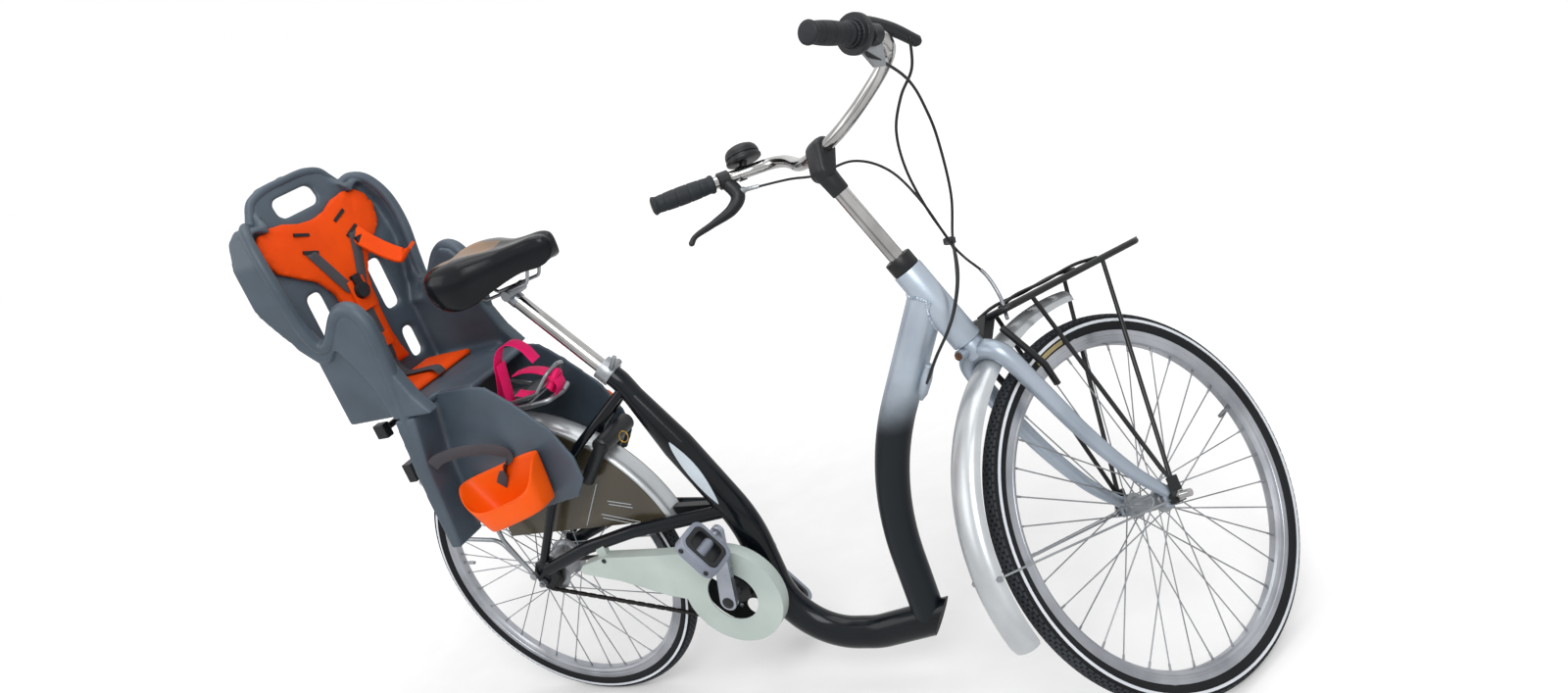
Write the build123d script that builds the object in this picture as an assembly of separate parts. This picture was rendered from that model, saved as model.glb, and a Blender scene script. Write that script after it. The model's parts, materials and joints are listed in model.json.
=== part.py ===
"""Step-through family bicycle with a rear child seat and a front luggage rack."""
import os
from math import cos, radians, sin

from build123d import *

# Lengths run forward from the rear axle and heights run up from the axle line.
# Every piece is moved at the end so that the origin lies on top of the saddle.

# Wheels
wheelbase = 1350
wheel_radius = 350
tyre_width = 40
tyre_depth = 34
rim_depth = 24
rim_width = 26
rim_chamfer = 5
spoke_count = 36
spoke_lean = 48
spoke_size = 2.2
flange_y = 34.5
axle_diameter = 10
running_gap = 0.6
rim_outer = wheel_radius - tyre_depth
rim_inner = rim_outer - rim_depth
rear_centre = (0, 0, 0)
front_centre = (0, 0, 0)

# Mudguards
front_guard_gap = 41
rear_guard_gap = 30
mudguard_width = 58
mudguard_rise = 14
mudguard_wall = 2
front_guard_radius = wheel_radius + front_guard_gap
rear_guard_radius = wheel_radius + rear_guard_gap

# Steering, with places along the column measured from level with the front axle
head_angle = 66.67
fork_offset = 73.8
steer_angle = 66.6
column_diameter = 28.6
head_tube_diameter = 54
head_length = 152
cup_height = 27
cup_gap = 9
crown_height = 30
crown_diameter = 44
crown_low = front_guard_radius + mudguard_rise + 4
crown_high = crown_low + crown_height
head_low = crown_high + cup_gap
head_high = head_low + head_length
column_top = head_high + 215

# Main tubes, wide across the bicycle by deep along it
main_wide, main_deep = 58, 72
down_wide, down_deep = 56, 66
seat_tube_top_diameter = 44
post_diameter = 31
post_rise = (-0.599, 0, 0.801)
seat_tube_top = (350, 0, 454)
post_length = 228
stay_y = 64

# Drive
crank_axis = (488, 0, -61)
crank_length = 170
crank_lean = 13.5
chain_y = -44
chain_height, chain_width = 9, 7
chainring_radius = 97
sprocket_radius = 38
tooth_gap = 0.7
guard_radius = 112
guard_hole = 57
guard_y, guard_depth, guard_wall = -84, 30, 3
arm_y = 100
arm_thickness = 14
pedal_y = 164
pedal_length, pedal_width, pedal_height = 98, 84, 26
pedal_tilt = -58

# Handlebar, drawn about the middle of the bar, right half from the stem outward
bar_diameter = 23
bar_points = [(0, -68, 0), (57, -185, 62), (7, -250, 74), (-167, -312, 68)]
grip_diameter = 33
grip_length = 123
shifter_length = 32
bar_offset = (8.5, 0, 38.8)

# Rear rack and child seat, with the seat drawn about the rack above the rear axle
rack_gap = 70
rack_top = wheel_radius + rack_gap
rack_tube = 12
seat_base = 72
shell_wall = 15
shell_half = 150
pad_thickness = 16
leg_plate_y = 100
leg_plate_wall = 8


def point_on_column(s):
    base = Vector(-fork_offset * sin(radians(head_angle)), 0, -fork_offset * cos(radians(head_angle)))
    return base + column_direction * s


def frame_column(s):
    return point_on_column(s) + Vector(wheelbase, 0, 0)


column_direction = Vector(-cos(radians(head_angle)), 0, sin(radians(head_angle)))
steering_axis = Axis(point_on_column(0), column_direction)


def mirrored(shape):
    return mirror(shape, about=Plane.XZ)


def both(shape):
    return Part() + [shape, mirrored(shape)]


def rod(start, end, diameter):
    start, end = Vector(start), Vector(end)
    return extrude(Plane(start, z_dir=end - start) * Circle(diameter / 2), (end - start).length)


def tube(points, diameter, bend):
    path = FilletPolyline(*points, radius=bend)
    return sweep(Plane(path @ 0, z_dir=path % 0) * Circle(diameter / 2), path=path)


def oval_tube(points, wide, deep, bend):
    path = FilletPolyline(*points, radius=bend)
    return sweep(Plane(path @ 0, x_dir=(0, 1, 0), z_dir=path % 0) * Ellipse(wide / 2, deep / 2), path=path)


def side_plate(points, y_from, y_to):
    """Flat outline given as (x, z) points, filled between two distances across the bicycle."""
    return extrude(Plane.XZ.offset(-y_from) * make_face(Polyline(*points, close=True)), y_from - y_to)


def across_face(half_points):
    """Face of an outline given as (y, z) points of its left half, from the top middle down."""
    right = [(-y, z) for y, z in reversed(half_points) if y > 0]
    return make_face(Polyline(*half_points, *right, close=True))


def across_plate(face, x_from, x_to):
    return extrude(Plane.YZ.offset(x_from) * face, x_to - x_from)


def ring_about(centre, section):
    """Section drawn as (radius, across) points, turned about an axle across the bicycle."""
    return Pos(*centre) * revolve(make_face(Polyline(*section, close=True)), Axis.Y)


def disc(centre, radius, y_from, y_to):
    return rod((centre[0], y_from, centre[2]), (centre[0], y_to, centre[2]), 2 * radius)


def pieces_over(shape, volume):
    """Keep the solids of a cut shape that are larger than its offcuts."""
    return Part() + [solid for solid in shape.solids() if solid.volume > volume]


def largest(shape):
    return max(shape.solids(), key=lambda solid: solid.volume)


def mudguard(radius, start, end):
    """Channel-shaped mudguard between two angles about a wheel centre."""
    half, crown = mudguard_width / 2, radius + mudguard_rise
    section = make_face(Polyline((radius, -half), (radius + mudguard_wall, -half), (crown, -half * 0.55),
                                 (crown, half * 0.55), (radius + mudguard_wall, half), (radius, half),
                                 (crown - mudguard_wall, half * 0.5), (crown - mudguard_wall, -half * 0.5),
                                 close=True))
    return Rot(0, -end, 0) * revolve(section, Axis.Y, end - start)


def wheel(hub_points, flange_radius):
    """Tyre, rim and spoked hub of one wheel, standing at the origin."""
    half = rim_width / 2
    seat = rim_inner + rim_chamfer
    rim = ring_about((0, 0, 0), [(rim_inner, rim_chamfer - half), (seat, -half), (rim_outer, -half),
                                 (rim_outer, half), (seat, half), (rim_inner, half - rim_chamfer)])
    section = Pos(wheel_radius - tyre_width / 2, 0) * Circle(tyre_width / 2)
    tyre = revolve(section - Pos(rim_outer - tyre_width / 2, 0) * Rectangle(tyre_width, rim_width), Axis.Y)
    hub = ring_about((0, 0, 0), hub_points)
    spokes = []
    for i in range(spoke_count):
        side = 1 if i % 2 else -1
        lean = spoke_lean if i % 4 < 2 else -spoke_lean
        turn = i * 360 / spoke_count
        inner, outer = radians(turn + lean), radians(turn)
        start = Vector(flange_radius * cos(inner), side * flange_y, flange_radius * sin(inner))
        reach = rim_inner + spoke_size
        end = Vector(reach * cos(outer), side * spoke_size, reach * sin(outer))
        spokes.append(extrude(Plane(start, z_dir=end - start) * Rectangle(spoke_size, spoke_size),
                              (end - start).length))
    return tyre, rim, (hub + spokes) - rim


nodes = {}
front = {}

# Wheels
bore = axle_diameter / 2 + running_gap
front_hub = [(bore, -40), (14, -40), (14, -37), (24, -37), (24, -32), (15, -30), (15, 30), (24, 32), (24, 37),
             (14, 37), (14, 40), (bore, 40)]
rear_hub = [(bore, -48), (20, -48), (20, -37), (46, -37), (46, -32), (34, -28), (34, 28), (46, 32), (46, 37),
            (30, 37), (30, 50), (bore, 50)]
for group, side, hub_points, flange in ((front, "front", front_hub, 21), (nodes, "rear", rear_hub, 43)):
    for name, piece in zip(("tyre", "rim", "spokes"), wheel(hub_points, flange)):
        group[f"{side}_{name}"] = piece
sprocket_outer = sprocket_radius - chain_height / 2 - tooth_gap
sprocket = disc(rear_centre, sprocket_outer, chain_y - 1.5, chain_y + 1.5)
nodes["rear_sprocket"] = sprocket - nodes["rear_spokes"] - disc(rear_centre, bore + 1, -60, 60)

# Frame tubes
bottom_start, bottom_low = (538, 0, -20), (547, 0, -219)
bottom_mid, bottom_end = (wheelbase - 615, 0, -224), (wheelbase - 425, 0, -182)
bottom_tube = oval_tube([bottom_start, bottom_low, bottom_mid, bottom_end], main_wide, main_deep, 150)
end_cut = Plane(origin=(wheelbase - 466, 0, -187), z_dir=(0.88, 0, -0.475))
bottom_tube = split(bottom_tube, bisect_by=end_cut, keep=Keep.BOTTOM)
knee, knee_slope = Vector(bottom_start), (Vector(bottom_start) - Vector(bottom_low)).normalized()
seat_corner = Vector(seat_tube_top) - Vector(post_rise) * 45
knee_corner = knee + knee_slope * 85
seat_slope = (seat_corner - knee_corner).normalized()
seat_mid_point, seat_bend_point = seat_corner - seat_slope * 173, seat_corner - seat_slope * 40
seat_low = oval_tube([knee, knee_corner, seat_mid_point], main_wide, main_deep, 300)
seat_mid = loft([Plane(seat_mid_point, x_dir=(0, 1, 0), z_dir=seat_slope) * Ellipse(main_wide / 2, main_deep / 2),
                 Plane(seat_bend_point, x_dir=(0, 1, 0), z_dir=seat_slope) * Circle(seat_tube_top_diameter / 2)])
seat_high = tube([seat_bend_point, seat_corner, seat_tube_top], seat_tube_top_diameter, 60)
seat_tube = seat_low + seat_mid + seat_high
head_tube = rod(frame_column(head_low), frame_column(head_high), head_tube_diameter)
head_bore = rod(frame_column(head_low - 60), frame_column(head_high + 60), column_diameter + 6)
down_top = frame_column(head_high - 55)
down_tube = oval_tube([down_top, (wheelbase - 491, 0, 128), (wheelbase - 493, 0, -185)], down_wide, down_deep, 640)
down_tube = largest(down_tube - head_tube - bottom_tube)
head_tube -= head_bore
nodes["bottom_tube"] = bottom_tube
nodes["seat_tube"] = seat_tube
nodes["down_tube"] = down_tube

cup_bore = rod(frame_column(head_low - 60), frame_column(head_high + 60), column_diameter + 2 * running_gap)
low_cup = rod(frame_column(head_low - cup_gap + 1), frame_column(head_low), head_tube_diameter)
high_cup = rod(frame_column(head_high), frame_column(head_high + cup_height), head_tube_diameter - 4)
nodes["head_tube"] = head_tube + (low_cup - cup_bore)
nodes["headset_cup"] = high_cup - cup_bore

shell = disc(crank_axis, 23, -36, 36) - disc(crank_axis, 12, -40, 40)
nodes["bottom_bracket"] = shell - bottom_tube - seat_tube

rear_axle = rod((0, -86, 0), (0, 86, 0), axle_diameter)
rear_axle += [Pos(0, y, 0) * (Rot(90, 0, 0) * extrude(RegularPolygon(10, 6), 10)) for y in (-70, 80)]
drop_points = [(-22, -12), (14, -20), (46, 6), (40, 42), (-6, 48)]
stay = oval_tube([(20, -64, 28), (155, -62, 74), (285, -56, 99), (503, -14, 102)], 22, 30, 120)
dropout = side_plate(drop_points, 4 - stay_y, -4 - stay_y)
chain_stays = both(stay + dropout) - rear_axle - seat_tube - bottom_tube
nodes["chain_stays"] = pieces_over(chain_stays, 5000)
seat_stay = tube([(22, -63, 54), (115, -63, 187), (239, -60, 307), (379, -12, 402)], 20, 70)
nodes["seat_stays"] = pieces_over(both(seat_stay) - nodes["chain_stays"] - seat_tube, 5000)
nodes["rear_axle"] = rear_axle

# Cable cover on the right of the down tube
port = rod((wheelbase - 304, -26, 350), (wheelbase - 336, -26, 292), 22)
nodes["cable_port"] = largest(port - down_tube)

# Seat post, clamp and saddle, with the saddle drawn about its top
top, rise = Vector(seat_tube_top), Vector(post_rise)
post_top = top + rise * post_length
seat_point = post_top + Vector(-8.4, 0, 118.4)
nodes["seat_post"] = rod(top, post_top, post_diameter)
clamp = rod(top - rise * 26, top + rise * 4, seat_tube_top_diameter + 8)
clamp += rod(top - rise * 12 + Vector(24, -16, 10), top - rise * 12 + Vector(24, 16, 10), 14)
lever_at = top - rise * 12 + Vector(24, -16, 10)
clamp += rod(lever_at, lever_at + Vector(22, -4, 24), 10)
nodes["seat_clamp"] = clamp - seat_tube - nodes["seat_post"]
saddle_sections = [(152, 36, 42, -29), (120, 54, 54, -30), (68, 80, 62, -34), (14, 132, 82, -41),
                   (-40, 196, 94, -47), (-90, 206, 86, -44), (-132, 176, 62, -37)]
saddle = loft([Plane((x, 0, z), x_dir=(0, 1, 0), z_dir=(-1, 0, 0)) * RectangleRounded(w, h, h * 0.4)
               for x, w, h, z in saddle_sections])
hollow = side_plate([(80, -125), (76, -59), (20, -53), (-90, -55), (-110, -125)], 66, -66)
hollow &= loft([Plane((x, 0, z), x_dir=(0, 1, 0), z_dir=(-1, 0, 0)) * Rectangle(w * 0.72, h * 2)
                for x, w, h, z in saddle_sections])
saddle = Pos(seat_point) * largest(saddle - hollow)
nodes["saddle"] = saddle
rail = tube([(95, -22, -45), (72, -22, -87), (-50, -22, -101), (-82, -22, -51)], 7, 14)
yoke = Pos(seat_point) * (both(rail) + rod((12, -32, -101), (12, 32, -101), 22))
yoke += rod(post_top - rise * 8, post_top + rise * 16, 34)
nodes["saddle_rails"] = pieces_over(yoke - saddle - nodes["seat_post"], 2000)

# Drive
reach_x, reach_z = crank_length * sin(radians(crank_lean)), crank_length * cos(radians(crank_lean))
arm_end = (crank_axis[0] + reach_x, 0, crank_axis[2] + reach_z)
left_end = (crank_axis[0] - reach_x, 0, crank_axis[2] - reach_z)


def crank_arm(end, y):
    outline = make_hull((Pos(crank_axis[0], crank_axis[2]) * Circle(18)).edges()
                        + (Pos(end[0], end[2]) * Circle(13)).edges())
    return extrude(Plane.XZ.offset(-y) * outline, arm_thickness / 2, both=True)


pedal_axles = [disc(end, 6, side * arm_y, side * pedal_y) for end, side in ((arm_end, -1), (left_end, 1))]
spindle = disc(crank_axis, 10, -arm_y, arm_y)
nodes["crank_set"] = spindle + [crank_arm(arm_end, -arm_y), crank_arm(left_end, arm_y)] + pedal_axles
chainring = disc(crank_axis, chainring_radius - chain_height / 2 - tooth_gap, chain_y - 1.5, chain_y + 1.5)
chainring -= [disc((crank_axis[0] + 55 * cos(radians(a)), 0, crank_axis[2] + 55 * sin(radians(a))), 20, -60, -30)
              for a in range(0, 360, 72)]
chainring += disc(crank_axis, 30, -62, chain_y - 1.5)
nodes["chainring"] = chainring - nodes["crank_set"]
for name, end, side in (("right_pedal", arm_end, -1), ("left_pedal", left_end, 1)):
    body = Box(pedal_length, pedal_width, pedal_height) - Box(pedal_length - 32, pedal_width - 24, 2 * pedal_height)
    body += Box(pedal_length, 24, 20)
    body -= Rot(90, 0, 0) * Cylinder(6 + running_gap, 200)
    nodes[name] = Pos(end[0], side * pedal_y, end[2]) * (Rot(0, -pedal_tilt, 0) * body)


def chain_loop(grow, y_from, y_to):
    outline = make_hull((Pos(crank_axis[0], crank_axis[2]) * Circle(chainring_radius + grow)).edges()
                        + Circle(sprocket_radius + grow).edges())
    return extrude(Plane.XZ.offset(-y_from) * outline, y_from - y_to)


nodes["chain"] = (chain_loop(chain_height / 2, chain_y + chain_width / 2, chain_y - chain_width / 2)
                  - chain_loop(-chain_height / 2, 0, -90))


def guard_outline(inset):
    ring = Pos(crank_axis[0], crank_axis[2]) * Circle(guard_radius - inset)
    arm = make_face(Polyline((135, 20 + inset), (129 + inset, 30), (140, 41 - inset), (205, 57 - inset),
                             (350, 51 - inset), (crank_axis[0], crank_axis[2] + guard_radius - inset),
                             (crank_axis[0], crank_axis[2]),
                             (crank_axis[0] - guard_radius + 2 + inset, crank_axis[2]),
                             (330, -48 + inset), (225, -4 + inset), close=True))
    return ring + arm


guard = extrude(Plane.XZ.offset(-guard_y) * guard_outline(0), -guard_depth)
guard -= extrude(Plane.XZ.offset(-guard_y - guard_wall) * guard_outline(guard_wall), -guard_depth)
guard -= disc(crank_axis, guard_hole, -100, -40)
guard_tab = side_plate([(183, 48), (207, 48), (207, 80), (183, 80)], -56, -70)
nodes["chain_guard"] = guard + (guard_tab - nodes["chain_stays"])

# Rear mudguard, coat guards and lock
bracket_front = crank_axis[0]
bracket = side_plate([(rear_guard_radius - 15, 94), (bracket_front, 90), (bracket_front, 118),
                      (rear_guard_radius - 15, 124)], 9, -9)
rear_mudguard = mudguard(rear_guard_radius, 12, 137)
rear_mudguard += largest(bracket - rear_mudguard - disc(rear_centre, rear_guard_radius, -50, 50))
rear_mudguard = rear_mudguard - seat_tube - nodes["seat_stays"] - nodes["chain_stays"]
nodes["rear_mudguard"] = largest(rear_mudguard)
panel = disc(rear_centre, rear_guard_radius + 4, -29, -32)
panel &= Pos(wheel_radius - 70, 0, 105 + wheel_radius) * Box(2 * wheel_radius, 200, 2 * wheel_radius)
nodes["coat_guards"] = both(panel) - nodes["chain_stays"] - nodes["rear_mudguard"]
lock_angle, lock_low, lock_high, lock_y = radians(45), wheel_radius - 25, wheel_radius + 72, 47


def beside_wheel(radius, y):
    return (radius * cos(lock_angle), y, radius * sin(lock_angle))


lock_points = [beside_wheel(lock_low, -lock_y), beside_wheel(lock_high, -lock_y), beside_wheel(lock_high, lock_y),
               beside_wheel(lock_low, lock_y)]
nodes["ring_lock"] = tube(lock_points, 22, 40) - nodes["seat_stays"] - nodes["rear_mudguard"] - nodes["coat_guards"]

# Rear light on the end of the mudguard
light_angle = radians(134)
light_reach = rear_guard_radius + mudguard_rise
light_at = Vector(light_reach * cos(light_angle), 0, light_reach * sin(light_angle))
light = Pos(light_at + Vector(-12, 0, 16)) * Box(26, 64, 46)
nodes["rear_light"] = largest(light - nodes["rear_mudguard"] - disc(rear_centre, light_reach - 4, -50, 50))

# Rear rack
rear_rail = tube([(175, -50, rack_top), (-205, -62, rack_top), (-230, 0, rack_top)], rack_tube, 30)
front_loop = tube([(175, -50, rack_top), (212, -40, rack_top), (225, 0, rack_top)], rack_tube, 18)
rack_leg = tube([(-15, -76, 22), (-55, -76, 120), (-85, -60, rack_top)], 10, 40)
back_leg = tube([(-19, -76, 34), (-65, -78, 124), (-185, -80, 140), (-200, -62, rack_top)], 10, 40)
foot = disc((-15, 0, 22), 9, -72, -82)
rear_rack = both(rear_rail + front_loop + rack_leg + back_leg + foot)
rear_rack += [rod((x, -55, rack_top), (x, 55, rack_top), 8) for x in (155, 75, -5, -165)]
nodes["rear_rack"] = rear_rack - nodes["rear_mudguard"] - nodes["seat_stays"]

# Child seat
child = {}
back_half = [(0, 604), (70, 602), (105, 588), (123, 560), (136, 532), (163, 544), (190, 526), (207, 470),
             (207, 380), (192, 315), (176, 260), (155, 220), (150, 72), (0, 72)]
back_profile = [(-230, 72), (-230, 395), (-270, 608), (-255, 610), (-215, 395), (-215, 72)]
wing_profile = [(-275, 548), (-283, 480), (-283, 360), (-250, 270), (-205, 226), (-173, 226), (-187, 305),
                (-183, 400), (-191, 470), (-215, 530), (-240, 555)]
side_profile = [(-230, 72), (-230, 230), (-187, 230), (-170, 275), (-140, 285), (-100, 318), (-70, 332),
                (-43, 324), (-22, 294), (-17, 250), (-21, 184), (3, 120), (35, 72)]
arm_profile = [(-250, 270), (-203, 226), (-173, 226), (-143, 252), (-115, 210), (-90, 150), (-77, 72),
               (35, 72), (3, 120), (-21, 184), (-17, 250), (-22, 294), (-43, 324), (-70, 332),
               (-100, 318), (-140, 285), (-175, 275), (-187, 305)]
seat_reach = (-340, -160)
back_face = across_face(back_half)
back = across_plate(back_face, *seat_reach) & side_plate(back_profile, 2 * shell_half, -2 * shell_half)
rim_face = back_face - offset(back_face, -shell_wall, kind=Kind.INTERSECTION)
wings = across_plate(rim_face, *seat_reach) & side_plate(wing_profile, 2 * shell_half, -2 * shell_half)
window_table = [(0, 544, 124, 44), (98, 302, 44, 116), (-98, 302, 44, 116), (101, 154, 34, 70), (-101, 154, 34, 70)]
windows = [across_plate(Pos(y, z) * RectangleRounded(w, h, w * 0.3 if h > w else h * 0.45), *seat_reach)
           for y, z, w, h in window_table]
side_wall = side_plate(side_profile, -shell_half, -shell_half - shell_wall)
armrest = side_plate(arm_profile, -shell_half - shell_wall, -shell_half - 34)
pan_rear = Pos(-122, 0, seat_base + 8) * Box(217, 2 * shell_half, 16)
pan_front = Pos(38, 0, seat_base + 8) * Box(106, 2 * leg_plate_y, 16)
shell = back + wings + [pan_rear, pan_front, both(side_wall + armrest)] - windows
child["child_seat_shell"] = largest(shell)
leg_points = [(-15, 88), (90, 88), (127, 80), (177, 36), (243, -38), (271, -107), (271, -159), (238, -198),
              (150, -212), (-5, -230), (-70, -230), (-70, 72), (-15, 72)]
rib_points = [(-77, 72), (-17, 72), (-47, -46), (-55, -132), (-67, -245), (-97, -245), (-95, -130), (-90, -46)]
leg_outer = leg_plate_y + leg_plate_wall
leg_guard = side_plate(leg_points, -leg_plate_y, -leg_outer)
leg_guard += side_plate(rib_points, -leg_plate_y, -shell_half - 34)
child["child_seat_leg_guards"] = both(leg_guard) - child["child_seat_shell"]
cup_length, cup_width, cup_tall, cup_wall = 174, 92, 110, 5
cup = Box(cup_length, cup_width, cup_tall)
cup -= Pos(0, 0, cup_wall) * Box(cup_length - 2 * cup_wall, cup_width - 2 * cup_wall, cup_tall)
cup -= Pos(0, -cup_width / 2, cup_tall * 0.45) * Box(cup_length, 4 * cup_wall, cup_tall)
cup = Pos(115, -leg_outer - cup_width / 2, -146) * (Rot(0, -23, 0) * cup)
child["foot_cups"] = both(cup) - child["child_seat_leg_guards"]
heart_half = [(0, 498), (40, 502), (75, 516), (120, 522), (152, 516), (174, 492), (176, 465), (160, 430),
              (112, 396), (80, 376), (52, 335), (46, 290), (42, 230), (46, 180), (58, 135), (0, 135)]
pad_profile = [(-215, 130), (-215, 395), (-246, 560), (-230, 560), (-199, 395), (-199, 130)]
back_pad = across_plate(across_face(heart_half), *seat_reach)
back_pad &= side_plate(pad_profile, 2 * shell_half, -2 * shell_half)
seat_pad = Pos(-146, 0, seat_base + 16 + 7) * Box(130, 240, 14)
child["child_seat_pads"] = Part() + [back_pad - child["child_seat_shell"], seat_pad - child["child_seat_shell"]]
strap_profile = [(-199, 135), (-199, 395), (-221, 512), (-218, 512), (-196, 395), (-196, 135)]
strap_face = across_face([(0, 340), (8, 342), (58, 444), (80, 438), (26, 326), (14, 290), (13, 140), (0, 140)])
straps = across_plate(strap_face, *seat_reach) & side_plate(strap_profile, shell_half, -shell_half)
buckle = Pos(-187, 0, 322) * Box(18, 44, 46)
child["harness"] = largest((straps + buckle) - child["child_seat_pads"] - child["child_seat_shell"])
mount_block = Pos(-25, 0, seat_base / 2) * Box(150, 110, seat_base)
knob_bar = rod((-226, -96, 22), (-226, 96, 22), 16) + [Pos(-226, y, 22) * Box(34, 22, 34) for y in (-92, 92)]
knob_arm = Pos(-160, 0, 22) * Box(150, 40, 14)
mount = Pos(0, 0, rack_top) * (mount_block + knob_arm + knob_bar)
nodes["child_seat_mount"] = mount - nodes["rear_rack"]
hoop = tube([(35, -48, 34), (115, -48, 12), (193, -46, 20), (229, -30, 54), (239, 0, 62)], 9, 16)
child["seat_hoop"] = both(hoop) + Pos(150, 0, 14) * Box(44, 100, 4)
strap_path = [(75, -26), (92, 42), (109, 104), (175, 146), (213, 86)]
band = extrude(Plane.XZ * trace(FilletPolyline(*strap_path, radius=14), 3), 12, both=True)
low_band = side_plate([(103, 52), (225, 66), (225, 70), (103, 56)], -24, -46)
child["luggage_straps"] = Pos(0, -36, 0) * band + low_band - child["seat_hoop"]
for name, piece in child.items():
    nodes[name] = Pos(0, 0, rack_top) * piece
nodes["luggage_straps"] = largest(nodes["luggage_straps"] - nodes["rear_rack"] - nodes["child_seat_mount"])
nodes["seat_hoop"] = largest(nodes["seat_hoop"] - nodes["rear_rack"] - nodes["child_seat_mount"])

# Fork and front axle, drawn straight ahead about the front axle
crown = rod(point_on_column(crown_low), point_on_column(crown_high), crown_diameter)
boss = rod(point_on_column(crown_low + 14), point_on_column(crown_low + 14) + Vector(-36, 0, -6), 20)
leg_top = point_on_column(crown_low + 4)
shoulder = leg_top + Vector(12, -52, -26)
leg = oval_tube([leg_top, shoulder, (-3, -56, 12)], 26, 40, 36)
leg_foot = side_plate([(-19, 20), (17, 22), (19, -12), (-11, -16)], -50, -58)
front_axle = rod((0, -78, 0), (0, 78, 0), axle_diameter) + rod((0, -98, 0), (0, -78, 0), 14)
front_axle += [Pos(0, y, 0) * (Rot(90, 0, 0) * extrude(RegularPolygon(10, 6), 12)) for y in (-66, 78)]
front["front_axle"] = front_axle
front["fork"] = largest(crown + boss + both(leg + leg_foot) - front_axle)
column = rod(point_on_column(crown_high), point_on_column(column_top), column_diameter)
front["steering_column"] = column

# Handlebar and its fittings
bar_centre = point_on_column(column_top) + Vector(bar_offset)
clamp_point = point_on_column(column_top + 4)
stem_hull = make_hull((Pos(clamp_point.X, clamp_point.Z) * Circle(20)).edges()
                      + (Pos(bar_centre.X, bar_centre.Z) * Circle(24)).edges())
bar = tube([(x, -y, z) for x, y, z in reversed(bar_points)] + bar_points, bar_diameter, 40)
front["stem"] = extrude(Plane.XZ * stem_hull, 22, both=True) - Pos(bar_centre) * bar - column
bar_end = Vector(bar_points[3])
inward = (Vector(bar_points[2]) - bar_end).normalized()
grip_start = bar_end - inward * 5
shifter_from = grip_start + inward * (grip_length - shifter_length)
fittings = {"right_grip": rod(grip_start, shifter_from - inward, grip_diameter) - bar,
            "left_grip": mirrored(rod(grip_start, grip_start + inward * grip_length, grip_diameter)) - bar}
shifter = rod(shifter_from, shifter_from + inward * shifter_length, 40)
shifter += rod(shifter_from + inward * 10, shifter_from + inward * 22, 62)
fittings["gear_shifter"] = shifter - bar


def brake_lever(along, blade_steps):
    """Clamp band on the bar with a lever blade led through steps from the clamp."""
    clamp_at = bar_end + inward * along
    band = rod(clamp_at - inward * 9, clamp_at + inward * 9, 34)
    blade = tube([clamp_at] + [clamp_at + Vector(step) for step in blade_steps], 13, 12)
    return (band + blade) - bar


fittings["right_brake_lever"] = brake_lever(148, [(4, 14, 26), (60, 26, 16), (108, 34, -8)])
fittings["left_brake_lever"] = mirrored(brake_lever(140, [(12, 8, -42), (-33, -3, -72), (-104, -18, -96)]))
bell_foot = mirrored(Pos(bar_end + inward * 176) * Box(1, 1, 1)).center()
bell = Pos(bell_foot + Vector(14, -10, 32)) * Cylinder(27, 26)
bell = fillet(bell.edges().group_by(Axis.Z)[-1], 12) + rod(bell_foot, bell_foot + Vector(14, -10, 22), 12)
fittings["bell"] = bell - bar
front["handlebar"] = Pos(bar_centre) * bar - front["stem"]
for name, piece in fittings.items():
    front[name] = Pos(bar_centre) * piece

# Front mudguard, luggage rack and brake
front["front_mudguard"] = largest(mudguard(front_guard_radius, 91, 200) - front["fork"])
rack_rise = 0.135
deck_back, deck_front, deck_half = (-186, front_guard_radius + 9), 209, 52


def deck(x):
    return deck_back[1] + (x - deck_back[0]) * rack_rise


rack_rail = tube([(-189, 0, deck(-189)), (-179, -deck_half, deck(-179)), (165, -deck_half, deck(165)),
                  (deck_front, 0, deck(deck_front))], 12, 24)
deck_bars = [rod((x, -deck_half, deck(x)), (x, deck_half, deck(x)), 9) for x in (-145, -91, -37, 17, 71, 125)]
struts = [rod((x, -deck_half, deck(x)), (2, -66, 22), 8) for x in (-119, 69)]
lug = side_plate([(-13, -12), (15, -12), (15, 34), (-11, 34)], -60, -70)
rack_lug = side_plate([(-223, 358), (-205, 352), (-175, 396), (-193, 406)], 10, -10)
rack = both(rack_rail + struts + lug) + deck_bars + rack_lug
front["front_rack"] = largest(rack - front["front_axle"] - front["fork"] - front["front_mudguard"])
brake_arm = tube([(-141, -54, 250), (-155, -58, 290), (-205, -50, 372)], 12, 30)
brake = both(brake_arm) - front["fork"] - front["front_mudguard"] - front["front_rack"]
front["front_brake"] = pieces_over(brake, 2000)
mudguard_stay = tube([(-4, -66, -4), (-12, -60, -4), (-front_guard_radius - 1, -24, -10)], 4, 8)
stays_cut = [front[name] for name in ("front_axle", "front_mudguard", "front_rack", "fork")]
front["front_stays"] = both(mudguard_stay) - stays_cut

# Cables, with the tie that gathers them ahead of the head tube
cable_size, cable_bend = 5, 36
brake_run = [(-413, 258, 800), (-330, 200, 784), (-321, 120, 755), (-287, 50, 744), (-243, 22, 704),
             (-211, 12, 634), (-191, 6, 550), (-189, -12, 512), (-167, -20, 472), (-161, -26, 426), (-179, -42, 384)]
shift_run = [(-447, -272, 806), (-330, -206, 776), (-261, -144, 734), (-218, -92, 688), (-191, -42, 617),
             (-188, -2, 555)]
rear_run = [(-322, -240, 828), (-307, -200, 792), (-314, -160, 765), (-309, -112, 726), (-283, -68, 672),
            (-241, -30, 608), (-195, 0, 543)]
down_run = [(-242, 60, 492), (-233, 10, 471), (-237, -30, 442), (-252, -50, 414), (-285, -50, 373),
            (-323, -30, 322)]


def turned(point):
    return Vertex(*point).rotate(steering_axis, steer_angle).center()


def cable(points):
    return tube(points, cable_size, cable_bend)


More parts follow.
